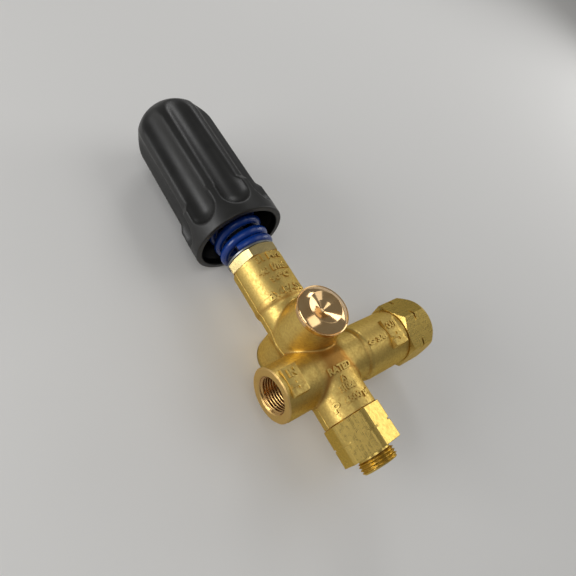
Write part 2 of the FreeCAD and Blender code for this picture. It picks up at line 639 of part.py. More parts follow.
def make_bypass_valve():
    """Seat in the body and the shutter that the stem pulls up against it."""
    low, high = S["seat_floor"], S["seat_floor"] + S["seat_height"]
    outer = S["seat_pocket"] - S["fixed_gap"]
    hole, lip, wire = S["seat_hole"], S["seat_lip"], S["seat_ring_wire"]
    middle = (low + high) / 2
    groove = S["seat_pocket"] - wire * 2
    turned("bypass_seat", [
        (hole + lip, low), (outer, low), (outer, middle - wire), (groove, middle - wire),
        (groove, middle + wire), (outer, middle + wire), (outer, high), (hole, high), (hole, low + lip)])
    o_ring("seat_o_ring", groove, S["seat_pocket"], middle)
    bore = S["stem_waist"] + S["fixed_gap"]
    foot = SHUTTER_TOP - S["shutter_height"]
    radius, hub = S["shutter_radius"], S["shutter_hub"]
    turned("bypass_shutter", [
        (bore, foot), (hub, foot), (radius, foot + radius - hub), (radius, SHUTTER_TOP), (bore, SHUTTER_TOP)])


def make_piston():
    """Pilot piston on the stem's lower end, with its seal."""
    radius, groove = S["piston_radius"], S["piston_groove"]
    foot = PISTON_TOP - S["piston_length"]
    high = PISTON_TOP - S["piston_groove_drop"]
    low = high - S["piston_groove_width"]
    bore = S["stem_tip_radius"] + S["fixed_gap"]
    floor = PISTON_TOP - S["stem_tip_length"] - S["face_gap"]
    turned("pilot_piston", [
        (0, foot), (radius, foot), (radius, low), (groove, low), (groove, high), (radius, high),
        (radius, PISTON_TOP), (bore, PISTON_TOP), (bore, floor), (0, floor)])
    sleeve = S["piston_radius"] + S["slide_gap"]
    backup_top = low + S["backup_thickness"]
    turned("piston_backup_ring", box_outline(
        groove + S["ring_gap"], sleeve - S["ring_gap"], low + S["ring_gap"], backup_top))
    o_ring("piston_o_ring", groove, sleeve, (backup_top + high) / 2)


def make_shank_groove(body, bore, shank, end, inwards):
    """Groove near the end of a screwed shank; returns its inner radius and middle."""
    wire = S["shank_ring_wire"]
    near = end + S["shank_groove_set"] * inwards
    far = near + S["shank_groove_width"] * inwards
    inner = bore - wire * 2
    low, high = (near, far) if inwards > 0 else (far, near)
    ring_groove(body, "seal_groove", inner, shank + wire, low, high)
    return inner, (low + high) / 2


def make_lower_fitting():
    """Hexagonal fitting in the bottom, with the piston's bore and a threaded stub."""
    body = new_body("lower_fitting")
    hex_foot = BOTTOM - S["lower_hex_height"]
    extrude(body, "hexagon", hexagon(S["lower_hex"], S["lower_turn"]), S["lower_hex_height"],
            shift=(0, 0, hex_foot))
    shank = S["lower_thread"] - S["thread_gap"]
    shank_top = BOTTOM + S["lower_shank"]
    stub, chamfer = S["stub_radius"], S["stub_chamfer"]
    stub_foot = hex_foot - S["stub_length"]
    relief = stub - S["stub_relief_depth"]
    revolve(body, "turning", [
        (0, stub_foot), (stub - chamfer, stub_foot), (stub, stub_foot + chamfer),
        (stub, hex_foot - S["stub_relief"]), (relief, hex_foot - S["stub_relief"]), (relief, hex_foot),
        (shank, hex_foot), (shank, shank_top), (0, shank_top)])
    land, far = S["lower_hex_radius"], S["lower_hex"]
    ring_groove(body, "corner_lands", land, far, hex_foot, BOTTOM)
    notch = BOTTOM - S["lower_notch"]
    ring_groove(body, "corner_ring", land - S["notch_depth"], far, notch - S["notch_width"], notch)
    sleeve = S["piston_radius"] + S["slide_gap"]
    floor = BOTTOM - S["sleeve_depth"]
    revolve(body, "bore", [
        (0, stub_foot), (S["stub_bore"], stub_foot), (S["stub_bore"], floor), (sleeve, floor),
        (sleeve, shank_top), (0, shank_top)], cut=True)
    inner, middle = make_shank_groove(body, S["lower_thread"], shank, shank_top, -1)
    o_ring("lower_fitting_o_ring", inner, S["lower_thread"], middle)


def make_outlet_fitting():
    """Hexagonal outlet fitting; heights are counted from the main axis towards the outlet."""
    body = new_body("outlet_fitting", turn=TO_OUTLET)
    near, length = S["outlet_reach"], S["outlet_hex_length"]
    face = near + length
    extrude(body, "hexagon", hexagon(S["outlet_hex"], S["outlet_turn"]), length, shift=(0, 0, near))
    shank = S["outlet_thread"] - S["thread_gap"]
    end = near - S["outlet_shank"]
    revolve(body, "shank", [(0, end), (shank, end), (shank, near), (0, near)])
    round_corners(body, S["outlet_hex"], near, face, S["outlet_end_slope"])
    notch = near + S["outlet_notch"]
    corner = S["outlet_hex"] / as_size(3).root()
    ring_groove(body, "corner_ring", corner - S["outlet_notch_depth"], corner + S["notch_width"],
                notch, notch + S["notch_width"])
    well = end + S["check_well_depth"]
    port_floor = face - S["port_depth"]
    revolve(body, "bore", [
        (0, end), (S["check_well"], end), (S["check_well"], well), (S["outlet_passage"], well),
        (S["outlet_passage"], port_floor), (S["port_radius"], port_floor), (S["port_radius"], face),
        (0, face)], cut=True)
    inner, middle = make_shank_groove(body, S["outlet_thread"], shank, end, 1)
    o_ring("outlet_o_ring", inner, S["outlet_thread"], middle, turn=TO_OUTLET)


def make_check_valve():
    """Seat, winged poppet and spring of the check valve before the outlet."""
    floor, length = S["check_floor"], S["check_seat_length"]
    outer, hole, wire = S["check_bore"] - S["fixed_gap"], S["check_hole"], S["seat_ring_wire"]
    groove = S["check_bore"] - wire * 2
    middle, high = floor + length / 2, floor + length
    turned("check_seat", [
        (hole, floor), (outer, floor), (outer, middle - wire), (groove, middle - wire),
        (groove, middle + wire), (outer, middle + wire), (outer, high), (hole, high)], turn=TO_OUTLET)
    o_ring("check_seat_o_ring", groove, S["check_bore"], middle, turn=TO_OUTLET)
    poppet = new_body("check_poppet", turn=TO_OUTLET)
    foot = high + S["face_gap"]
    back = foot + S["check_head_length"]
    spigot = S["check_spigot"]
    revolve(poppet, "head", [
        (0, foot), (S["check_head"], foot), (S["check_head"], back), (spigot, back),
        (spigot, back + S["check_spigot_length"]), (0, back + S["check_spigot_length"])])
    reach = S["check_bore"] - S["slide_gap"] * 2
    half = S["check_wing_width"] / 2
    for name, along, across in (("wings_flat", reach, half), ("wings_up", half, reach)):
        extrude(poppet, name, [(-along, -across), (along, -across), (along, across), (-along, across)],
                S["check_head_length"], shift=(0, 0, foot))
    spring = new_body("check_spring", turn=TO_OUTLET)
    wire = S["check_wire"]
    coil = spigot + wire + S["collar_gap"]
    low = back + wire + S["face_gap"]
    high = S["outlet_reach"] - S["outlet_shank"] + S["check_well_depth"] - wire - S["face_gap"]
    helix_run(spring, "turns", coil, wire, low, (high - low) / S["check_turns"], S["check_turns"])


def make_plug():
    """Domed plug and its washer on the front boss; heights run from the main axis to the front."""
    base = (S["inlet_reach"], 0, S["boss_rise"])
    face = S["plug_boss_reach"]
    flange_foot = face + S["plug_washer_thickness"]
    bore = S["plug_thread"] + S["thread_gap"]
    turned("plug_washer", box_outline(bore, S["plug_washer_radius"], face, flange_foot), base, TO_FRONT)
    flange_top = flange_foot + S["flange_thickness"]
    radius = S["flange_radius"]
    dome_foot = radius - S["plug_step"]
    shank = S["plug_thread"] - S["thread_gap"]
    shank_end = S["plug_thread_end"] + S["face_gap"]
    crown = flange_top + S["plug_dome_height"]
    core = S["plug_core"]
    turned("dome_plug", [
        (core, shank_end), (shank, shank_end), (shank, flange_foot), (radius, flange_foot), (radius, flange_top),
        (dome_foot, flange_top, S["plug_dome_radius"]), (S["dish_radius"], crown), (0, crown - S["dish_depth"]),
        (0, shank_end + S["plug_core_depth"]), (core, shank_end + S["plug_core_depth"])], base, TO_FRONT)


MAKERS = (make_valve_body, make_gland, make_spring_stack, make_stem, make_knob, make_bypass_valve,
          make_piston, make_lower_fitting, make_outlet_fitting, make_check_valve, make_plug)
for maker in MAKERS:
    maker()
doc.recompute()

faults = [thing.Name for thing in doc.Objects if "Invalid" in thing.State or "Error" in thing.State]
faults += [part.Label for part in parts if part.Shape.isNull() or not part.Shape.isValid()]
if faults:
    raise RuntimeError(f"These objects failed: {faults}")

os.makedirs("parts", exist_ok=True)
for part in parts:
    part.Shape.exportStep(f"parts/{part.Label}.step")
    print(f"{part.Label}: {len(part.Shape.Solids)} solid, {part.Shape.Volume:.1f} mm3")
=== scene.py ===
"""Unloader valve of a pressure washer, dressed for rendering.

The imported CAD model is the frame. The visible pieces are worked out here as numpy surfaces in
millimetres round the crossing of the valve's main axis with its inlet and outlet axis, and
become Blender meshes in metres. Each one rides on its CAD body and carries a procedural finish.
"""

import json
import logging
import math
from collections.abc import Callable, Sequence
from dataclasses import dataclass, field
from enum import Enum
from typing import ClassVar

import bpy
import numpy as np
from mathutils import Matrix, Vector

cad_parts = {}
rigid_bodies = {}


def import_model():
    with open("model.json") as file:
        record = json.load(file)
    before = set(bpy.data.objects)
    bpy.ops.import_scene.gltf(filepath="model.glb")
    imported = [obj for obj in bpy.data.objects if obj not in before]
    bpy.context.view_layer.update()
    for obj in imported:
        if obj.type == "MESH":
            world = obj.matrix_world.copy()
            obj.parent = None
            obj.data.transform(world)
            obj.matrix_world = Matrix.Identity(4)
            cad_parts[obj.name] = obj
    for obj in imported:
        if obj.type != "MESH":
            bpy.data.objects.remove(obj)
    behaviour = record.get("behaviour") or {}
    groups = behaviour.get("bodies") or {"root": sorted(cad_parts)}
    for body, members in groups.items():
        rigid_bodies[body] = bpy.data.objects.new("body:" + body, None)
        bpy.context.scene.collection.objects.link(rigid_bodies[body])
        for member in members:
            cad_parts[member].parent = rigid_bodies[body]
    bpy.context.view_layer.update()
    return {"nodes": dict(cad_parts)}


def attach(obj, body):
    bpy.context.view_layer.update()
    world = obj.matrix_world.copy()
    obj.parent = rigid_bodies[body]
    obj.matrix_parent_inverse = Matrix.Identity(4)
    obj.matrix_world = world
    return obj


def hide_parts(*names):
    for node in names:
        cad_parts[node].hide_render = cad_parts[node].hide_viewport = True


log = logging.getLogger("unloader_valve")

MM = 0.001
CROSSING = np.array([28.0, 0.0, 0.0])
FULL_TURN = 2 * math.pi
HEX_STEP = math.pi / 3

Triple = tuple[float, float, float]
Colour = tuple[float, float, float]
Socket = bpy.types.NodeSocket
Distance = Callable[[np.ndarray], np.ndarray]


class Body(Enum):
    """Bodies of the CAD model that a piece can ride on."""

    ROOT = "root"
    STEM = "stem"
    PLATE = "plate"
    KNOB = "knob"
    CHECK = "check"


class Facing(Enum):
    """Direction in which a sub-part's own height runs; the rows are its x, y and z axes."""

    UP = ((1, 0, 0), (0, 1, 0), (0, 0, 1))
    OUTLET = ((0, 0, -1), (0, 1, 0), (1, 0, 0))
    INLET = ((0, 0, 1), (0, 1, 0), (-1, 0, 0))
    FRONT = ((1, 0, 0), (0, 0, 1), (0, -1, 0))
    REAR = ((1, 0, 0), (0, 0, -1), (0, 1, 0))

    def placed(self, points: np.ndarray, shift: Sequence[float] = (0.0, 0.0, 0.0)) -> np.ndarray:
        """Turn points into this direction and shift them from the crossing.

        Args:
            points: Points in the sub-part's own axes.
            shift: Where the sub-part's origin sits, counted from the crossing.

        Returns:
            The points in the valve's frame, still in millimetres.
        """
        return points @ np.array(self.value, float) + CROSSING + np.array(shift, float)


@dataclass
class Shell:
    """A closed surface as arrays of points, quads and triangles."""

    points: np.ndarray
    quads: np.ndarray
    fans: np.ndarray

    @staticmethod
    def joined(shells: Sequence["Shell"]) -> "Shell":
        """Gather several shells in one, each still closed in itself."""
        starts = np.cumsum([0] + [len(shell.points) for shell in shells])
        return Shell(
            np.concatenate([shell.points for shell in shells]),
            np.concatenate([shell.quads + start for shell, start in zip(shells, starts)]),
            np.concatenate([shell.fans + start for shell, start in zip(shells, starts)]),
        )

    def triangles(self) -> np.ndarray:
        """All faces as triangles."""
        halves = np.concatenate([self.quads[:, [0, 1, 2]], self.quads[:, [0, 2, 3]]])
        return np.concatenate([halves, self.fans])

    def outward(self) -> "Shell":
        """The same shell with its faces pointing outwards.

        The signed volume is a sixth of the sum of a . (b x c) over all triangles; where it is
        negative the faces are turned round.
        """
        a, b, c = (self.points[self.triangles()[:, corner]] for corner in range(3))
        if np.einsum("ij,ij->", a, np.cross(b, c)) < 0:
            return Shell(self.points, self.quads[:, ::-1], self.fans[:, ::-1])
        return self

    def turned(self, facing: Facing, shift: Sequence[float] = (0.0, 0.0, 0.0)) -> "Shell":
        """The same shell in the valve's frame, with its own height in the given direction."""
        return Shell(facing.placed(self.points, shift), self.quads, self.fans)

    def to_mesh(self, name: str, crease_degrees: float = 32.0) -> bpy.types.Mesh:
        """Write the shell into a Blender mesh in metres.

        Args:
            name: Name of the mesh.
            crease_degrees: Edges that bend more than this stay sharp.

        Returns:
            The mesh, smooth apart from its creases.
        """
        shell = self.outward()
        corners = np.concatenate([shell.quads.ravel(), shell.fans.ravel()]).astype(np.int32)
        sizes = np.concatenate([np.full(len(shell.quads), 4), np.full(len(shell.fans), 3)])
        starts = np.concatenate([[0], np.cumsum(sizes)[:-1]]).astype(np.int32)
        mesh = bpy.data.meshes.new(name)
        mesh.vertices.add(len(shell.points))
        mesh.vertices.foreach_set("co", (shell.points * MM).astype(np.float32).ravel())
        mesh.loops.add(len(corners))
        mesh.loops.foreach_set("vertex_index", corners)
        mesh.polygons.add(len(sizes))
        mesh.polygons.foreach_set("loop_start", starts)
        mesh.update(calc_edges=True)
        mesh.validate()
        finish_shading(mesh, crease_degrees)
        return mesh


def finish_shading(mesh: bpy.types.Mesh, crease_degrees: float) -> None:
    """Shade a mesh smooth and keep the edges sharp that bend more than the given angle."""
    mesh.polygons.foreach_set("use_smooth", np.ones(len(mesh.polygons), bool))
    mesh.set_sharp_from_angle(angle=math.radians(crease_degrees))
    mesh.update()


def places(items: bpy.types.bpy_prop_collection, field_name: str) -> np.ndarray:
    """Coordinates of a mesh's points or faces, in millimetres from the crossing."""
    spots = np.zeros(len(items) * 3, np.float32)
    items.foreach_get(field_name, spots)
    return spots.reshape(-1, 3) / MM - CROSSING


def store(mesh: bpy.types.Mesh, name: str, values: np.ndarray, domain: str = "POINT") -> None:
    """Keep one number for each point or face of a mesh."""
    mesh.attributes.new(name, "FLOAT", domain).data.foreach_set("value", np.asarray(values, np.float32))


def lattice(rows: np.ndarray, ring: bool = False) -> Shell:
    """Close a grid of points whose columns run once round.

    Quad (i, j) joins points (i, j), (i, j+1), (i+1, j+1) and (i+1, j), with j counted round.

    Args:
        rows: Points with the shape (rows, columns, 3).
        ring: True joins the last row to the first. Otherwise the first and the last row are
            each one point, the pole, and triangles fan out from it.

    Returns:
        The closed shell.
    """
    if ring:
        height, width = rows.shape[:2]
        spots = np.arange(height * width).reshape(height, width)
        below = np.roll(spots, -1, axis=0)
        corners = [spots, np.roll(spots, -1, axis=1), np.roll(below, -1, axis=1), below]
        quads = np.stack(corners, axis=-1).reshape(-1, 4)
        return Shell(rows.reshape(-1, 3), quads, np.zeros((0, 3), int))
    poles = rows[[0, -1]].mean(axis=1)
    inner = rows[1:-1]
    height, width = inner.shape[:2]
    spots = np.arange(height * width).reshape(height, width)
    beside = np.roll(spots, -1, axis=1)
    corners = [spots[:-1], beside[:-1], beside[1:], spots[1:]]
    quads = np.stack(corners, axis=-1).reshape(-1, 4)
    first, last = height * width, height * width + 1
    top = np.stack([np.full(width, first), beside[0], spots[0]], axis=-1)
    foot = np.stack([np.full(width, last), spots[-1], beside[-1]], axis=-1)
    return Shell(np.concatenate([inner.reshape(-1, 3), poles]), quads, np.concatenate([top, foot]))


def rounded(corners: Sequence[Triple], ring: bool, steps: int = 4) -> np.ndarray:
    """Polyline through corners that are each rounded.

    A corner C between A and B on its two sides becomes (1-u)^2 A + 2u(1-u) C + u^2 B, with A
    and B as far from C as a circle of the wanted radius would touch.

    Args:
        corners: (radius, height, rounding) of each corner.
        ring: True for a closed outline, False for one that starts and ends on the axis.
        steps: Number of pieces each rounding is divided into.

    Returns:
        Points with the shape (n, 2).
    """
    spots = np.array([corner[:2] for corner in corners], float)
    outline: list[np.ndarray] = []
    last = len(corners) - 1
    for index, (_, _, rounding) in enumerate(corners):
        here = spots[index]
        if rounding <= 0 or (not ring and index in (0, last)):
            outline.append(here[None])
            continue
        back, ahead = spots[index - 1] - here, spots[(index + 1) % len(corners)] - here
        spans = np.linalg.norm(back), np.linalg.norm(ahead)
        back, ahead = back / spans[0], ahead / spans[1]
        half = math.acos(float(np.clip(back @ ahead, -0.999, 0.999))) / 2
        reach = min(rounding / math.tan(half), 0.48 * min(spans))
        u = np.linspace(0, 1, steps + 1)[:, None]
        start, end = here + back * reach, here + ahead * reach
        outline.append((1 - u) ** 2 * start + 2 * u * (1 - u) * here + u**2 * end)
    return np.concatenate(outline)


def spun(outline: np.ndarray, columns: int = 96, ring: bool = False) -> Shell:
    """Turn an outline of (radius, height) points once round its height axis.

    Point (i, j) is (r_i cos a_j, r_i sin a_j, h_i).
    """
    angle = np.linspace(0, FULL_TURN, columns, endpoint=False)
    radius, height = outline[:, 0, None], outline[:, 1, None]
    rows = np.stack([radius * np.cos(angle), radius * np.sin(angle), height + 0 * angle], axis=-1)
    return lattice(rows, ring)


def columned(rows: Sequence[tuple[np.ndarray | float, np.ndarray | float]], angle: np.ndarray) -> Shell:
    """Ring-shaped shell whose outline may differ from column to column.

    Args:
        rows: Radius and height of each point of the outline, one number or one for each column.
        angle: Direction of each column.

    Returns:
        The closed shell.
    """
    radius, height = (np.stack([np.broadcast_to(np.asarray(row[part], float), angle.shape) for row in rows])
                      for part in (0, 1))
    return lattice(np.stack([radius * np.cos(angle), radius * np.sin(angle), height], axis=-1), ring=True)


def swept(path: np.ndarray, radius: float, columns: int, side: Sequence[float]) -> Shell:
    """Round wire along a path, closed with a flat end at both ends.

    A ring stands at each path point, in the plane of two unit vectors square to the path: one
    nearest to the given side direction and their cross product.

    Args:
        path: Points of the wire's middle.
        radius: Radius of the wire.
        columns: Points round the wire.
        side: A direction that is never along the path, or one direction per path point.

    Returns:
        The closed shell.
    """
    along = np.gradient(path, axis=0)
    along /= np.linalg.norm(along, axis=1, keepdims=True)
    aside = np.broadcast_to(np.array(side, float), path.shape)
    aside = aside - along * np.sum(aside * along, axis=1, keepdims=True)
    aside = aside / np.linalg.norm(aside, axis=1, keepdims=True)
    across = np.cross(along, aside)
    angle = np.linspace(0, FULL_TURN, columns, endpoint=False)[None, :, None]
    rings = path[:, None] + radius * (np.cos(angle) * aside[:, None] + np.sin(angle) * across[:, None])
    ends = np.repeat(path[[0, -1]][:, None], columns, axis=1)
    return lattice(np.concatenate([ends[:1], rings, ends[1:]]))


def hexagon_radius(angle: np.ndarray, across_flats: float, turn_degrees: float) -> np.ndarray:
    """Distance from the axis to a hexagon: half its width over cos of the angle off the flat."""
    off = np.mod(angle - math.radians(turn_degrees), HEX_STEP) - HEX_STEP / 2
    return across_flats / 2 / np.cos(off)


def hexagon_angles(turn_degrees: float, breaks_degrees: Sequence[float], step_degrees: float = 2.5) -> np.ndarray:
    """Column directions round a hexagon, with columns exactly at its corners and breaks.

    Args:
        turn_degrees: Direction of the first corner.
        breaks_degrees: Angles off each corner where a column is needed.
        step_degrees: Spacing of the other columns.

    Returns:
        Sorted directions in radians.
    """
    wanted = np.array([0.0] + [side * off for off in breaks_degrees for side in (-1, 1)])
    exact = (wanted[None, :] + np.arange(0, 360, 60)[:, None]).ravel()
    even = np.arange(0, 360, step_degrees)
    gap = np.abs((even[:, None] - exact[None, :] + 180) % 360 - 180).min(axis=1)
    return np.radians(np.sort(np.concatenate([exact % 360, even[gap > 0.8]])) + turn_degrees)


def corner_offset(across_flats: float, radius: float) -> float:
    """Angle in degrees off a hexagon's corner at which a circle of this radius meets its flats."""
    return 30.0 - math.degrees(math.acos(min(1.0, across_flats / 2 / radius)))


def melt(first: np.ndarray, second: np.ndarray, width: float) -> np.ndarray:
    """Smooth union of two distances: min(a, b) - h^2 w / 4, with h = max(w - |a - b|, 0) / w."""
    overlap = np.maximum(width - np.abs(first - second), 0) / width
    return np.minimum(first, second) - overlap**2 * width / 4


def keep_out(first: np.ndarray, second: np.ndarray, width: np.ndarray) -> np.ndarray:
    """Smooth intersection of two distances, the smooth union turned inside out."""
    overlap = np.maximum(width - np.abs(first - second), 0) / width
    return np.maximum(first, second) + overlap**2 * width / 4


def barrel(across: np.ndarray, along: np.ndarray, radius: float, low: float, high: float,
           rim: float) -> np.ndarray:
    """Signed distance to a round bar with rounded rims.

    With a = across - (radius - rim) and b = |along - middle| - (half length - rim), it is
    |(max(a, 0), max(b, 0))| + min(max(a, b), 0) - rim.

    Args:
        across: Distance of each point from the bar's axis.
        along: Place of each point along the axis.
        radius: Radius of the bar.
        low: Where the bar starts.
        high: Where the bar ends.
        rim: Rounding of both rims.

    Returns:
        The distance of each point, negative inside.
    """
    a = across - (radius - rim)
    b = np.abs(along - (low + high) / 2) - ((high - low) / 2 - rim)
    return np.hypot(np.maximum(a, 0), np.maximum(b, 0)) + np.minimum(np.maximum(a, b), 0) - rim


@dataclass
class NetGrid:
    """A box of evenly spaced samples that a surface is drawn through."""

    low: Triple
    high: Triple
    pitch: float

    def surface(self, distance: Distance, settle: int = 4) -> Shell:
        """Closed surface where a distance function is zero.

        Each grid cell that the surface crosses gets one point, the mean of the crossings on
        the cell's edges, and each crossed edge joins the points of its four cells to a quad.
        The points are then moved along the gradient, p - f g / |g|^2, onto the surface.

        Args:
            distance: Signed distance of points with the shape (n, 3), negative inside.
            settle: Number of such moves.

        Returns:
            The closed shell.
        """
        counts = [int(math.ceil((b - a) / self.pitch)) + 1 for a, b in zip(self.low, self.high)]
        lines = [a + self.pitch * np.arange(count) for a, count in zip(self.low, counts)]
        samples = np.stack(np.meshgrid(*lines, indexing="ij"), axis=-1)
        value = distance(samples.reshape(-1, 3)).reshape(counts)
        cells = tuple(count - 1 for count in counts)
        total = np.zeros(cells + (3,))
        crossed = np.zeros(cells)
        steps = [(0, 0), (0, 1), (1, 0), (1, 1)]
        edges = []
        for axis in range(3):
            a = value.take(range(counts[axis] - 1), axis)
            b = value.take(range(1, counts[axis]), axis)
            cut = (a < 0) != (b < 0)
            share = np.where(cut, a / np.where(cut, a - b, 1), 0)
            spot = samples.take(range(counts[axis] - 1), axis).copy()
            spot[..., axis] += share * self.pitch
            others = [other for other in range(3) if other != axis]
            for shift in steps:
                window = [slice(None)] * 3
                for other, offset in zip(others, shift):
                    window[other] = slice(offset, offset + cells[other])
                hit = cut[tuple(window)]
                total += np.where(hit[..., None], spot[tuple(window)], 0)
                crossed += hit
            edges.append((axis, others, cut, a < 0))
        used = crossed > 0
        index = np.full(cells, -1)
        index[used] = np.arange(int(used.sum()))
        points = total[used] / crossed[used][:, None]
        quads = []
        for axis, others, cut, inside in edges:
            window = [slice(None)] * 3
            for other in others:
                window[other] = slice(1, cells[other])
            where = np.argwhere(cut[tuple(window)])
            corner_cells = []
            for shift in ((0, 0), (1, 0), (1, 1), (0, 1)):
                spot = where.copy()
                for other, offset in zip(others, shift):
                    spot[:, other] += offset
                corner_cells.append(index[tuple(spot.T)])
            quad = np.stack(corner_cells, axis=-1)
            flip = inside[tuple(window)][tuple(where.T)] ^ (axis == 1)
            quad[~flip] = quad[~flip][:, ::-1]
            quads.append(quad)
        for _ in range(settle):
            points = settled(points, distance)
        return Shell(points, np.concatenate(quads), np.zeros((0, 3), int))


def slope_of(points: np.ndarray, distance: Distance, reach: float = 0.02) -> np.ndarray:
    """Gradient of a distance function by central differences."""
    moves = np.eye(3) * reach
    sides = [(distance(points + move) - distance(points - move)) / (2 * reach) for move in moves]
    return np.stack(sides, axis=-1)


def settled(points: np.ndarray, distance: Distance,
            flat: bool = False) -> np.ndarray:
    """Move points once along the gradient onto the zero of a distance function.

    Args:
        points: Points with the shape (n, 3).
        distance: Signed distance function.
        flat: True keeps the points in the parting plane, y = 0.

    Returns:
        The moved points.
    """
    slope = slope_of(points, distance)
    if flat:
        slope[:, 1] = 0
    steep = np.maximum(np.sum(slope**2, axis=1, keepdims=True), 0.05)
    return points - distance(points)[:, None] * slope / steep


class Wiring:
    """A shader node tree under construction."""

    def __init__(self, tree: bpy.types.NodeTree) -> None:
        """Start with an empty tree."""
        self.tree = tree
        tree.nodes.clear()

    def add(self, kind: str, inputs: dict[str, object] | None = None, **settings: object) -> bpy.types.Node:
        """Add a node.

        Args:
            kind: Type of the node, without its common prefix.
            inputs: Values or output sockets for its named inputs.
            settings: Attributes of the node.

        Returns:
            The node.
        """
        node = self.tree.nodes.new("ShaderNode" + kind)
        for name, value in settings.items():
            setattr(node, name, value)
        for name, value in (inputs or {}).items():
            self.feed(node.inputs[name], value)
        return node

    def feed(self, socket: Socket, value: object) -> None:
        """Link an output to a socket, or set the socket's own value."""
        if isinstance(value, Socket):
            self.tree.links.new(value, socket)
        else:
            socket.default_value = value

    def math(self, operation: str, first: object, second: object = 0.0, clamp: bool = False) -> Socket:
        """Result of a maths node on two values or sockets."""
        node = self.add("Math", {}, operation=operation, use_clamp=clamp)
        for socket, value in zip(node.inputs, (first, second)):
            self.feed(socket, value)
        return node.outputs[0]

    def spread(self, value: Socket, source: tuple[float, float], target: tuple[float, float]) -> Socket:
        """Map a value from one range to another and hold it inside."""
        limits = dict(zip(("From Min", "From Max", "To Min", "To Max"), source + target))
        node = self.add("MapRange", {"Value": value, **limits})
        return node.outputs["Result"]

    def tint(self, share: Socket | float, first: object, second: object) -> Socket:
        """Mix two colours by a share."""
        node = self.add("Mix", {}, data_type="RGBA")
        for index, value in zip((0, 6, 7), (share, first, second)):
            self.feed(node.inputs[index], value)
        return node.outputs[2]


class Effect(Enum):
    """Effects that several finishes share, each a node group built once."""

    GRAIN = "blasted_grain"
    TOOLING = "tool_marks"
    PATINA = "handling_patina"
    DRAWN = "drawn_streaks"

    def group(self) -> bpy.types.NodeTree:
        """The node group of this effect."""
        known = bpy.data.node_groups.get(self.value)
        if known:
            return known
        tree = bpy.data.node_groups.new(self.value, "ShaderNodeTree")
        for name, way, kind in (("Vector", "INPUT", "Vector"), ("Fineness", "INPUT", "Float"),
                                ("Height", "OUTPUT", "Float"), ("Mask", "OUTPUT", "Float")):
            tree.interface.new_socket(name, in_out=way, socket_type=f"NodeSocket{kind}")
        wiring = Wiring(tree)
        entry = tree.nodes.new("NodeGroupInput")
        leave = tree.nodes.new("NodeGroupOutput")
        builders = {
            Effect.GRAIN: self._grain,
            Effect.TOOLING: self._tooling,
            Effect.PATINA: self._patina,
            Effect.DRAWN: self._drawn,
        }
        height, mask = builders[self](wiring, entry.outputs["Vector"], entry.outputs["Fineness"])
        tree.links.new(height, leave.inputs["Height"])
        tree.links.new(mask, leave.inputs["Mask"])
        return tree

    @staticmethod
    def _grain(wiring: Wiring, vector: Socket, fineness: Socket) -> tuple[Socket, Socket]:
        """Pits of a shot-blasted skin over a slow unevenness of the die."""
        pits = wiring.add("TexNoise", {"Vector": vector, "Scale": fineness, "Detail": 3.0, "Roughness": 0.6})
        coarse = wiring.math("MULTIPLY", fineness, 0.09)
        waves = wiring.add("TexNoise", {"Vector": vector, "Scale": coarse, "Detail": 2.0})
        height = wiring.math("ADD", pits.outputs["Fac"], wiring.math("MULTIPLY", waves.outputs["Fac"], 2.2))
        return height, wiring.spread(pits.outputs["Fac"], (0.3, 0.7), (0.0, 1.0))

    @staticmethod
    def _tooling(wiring: Wiring, vector: Socket, fineness: Socket) -> tuple[Socket, Socket]:
        """Fine turning marks: rings on end faces and lines round cylinders."""
        waves = []
        for kind in ("RINGS", "BANDS"):
            marks = wiring.add("TexWave", {"Vector": vector, "Scale": fineness, "Distortion": 0.6, "Detail": 2.0},
                               wave_type=kind, **{f"{kind.lower()}_direction": "Z"})
            waves.append(marks.outputs["Fac"])
        slow = wiring.add("TexNoise", {"Vector": vector, "Scale": wiring.math("MULTIPLY", fineness, 0.4)})
        return wiring.math("ADD", *waves), slow.outputs["Fac"]

    @staticmethod
    def _patina(wiring: Wiring, vector: Socket, fineness: Socket) -> tuple[Socket, Socket]:
        """Cloudy darkening from handling and storage."""
        cloud = wiring.add("TexNoise", {"Vector": vector, "Scale": fineness, "Detail": 5.0, "Roughness": 0.62,
                                        "Distortion": 0.4})
        return cloud.outputs["Fac"], wiring.spread(cloud.outputs["Fac"], (0.38, 0.68), (0.0, 1.0))

    @staticmethod
    def _drawn(wiring: Wiring, vector: Socket, fineness: Socket) -> tuple[Socket, Socket]:
        """Long scratches that drawing leaves along a bar, whose axis is the vector's Z."""
        longer = wiring.add("Mapping", {"Vector": vector, "Scale": (1.0, 1.0, 0.03)})
        streaks = wiring.add("TexNoise", {"Vector": longer.outputs["Vector"], "Scale": fineness, "Detail": 4.0,
                                          "Roughness": 0.7})
        return streaks.outputs["Fac"], wiring.spread(streaks.outputs["Fac"], (0.35, 0.65), (0.0, 1.0))

    def placed(self, wiring: Wiring, vector: Socket, fineness: float) -> bpy.types.Node:
        """Put the effect into a material.

        Args:
            wiring: The material's tree.
            vector: Coordinates in metres, with the piece's axis along Z.
            fineness: Features per metre.

        Returns:
            The group node, with the outputs Height and Mask.
        """
        return wiring.add("Group", {"Vector": vector, "Fineness": fineness}, node_tree=self.group())


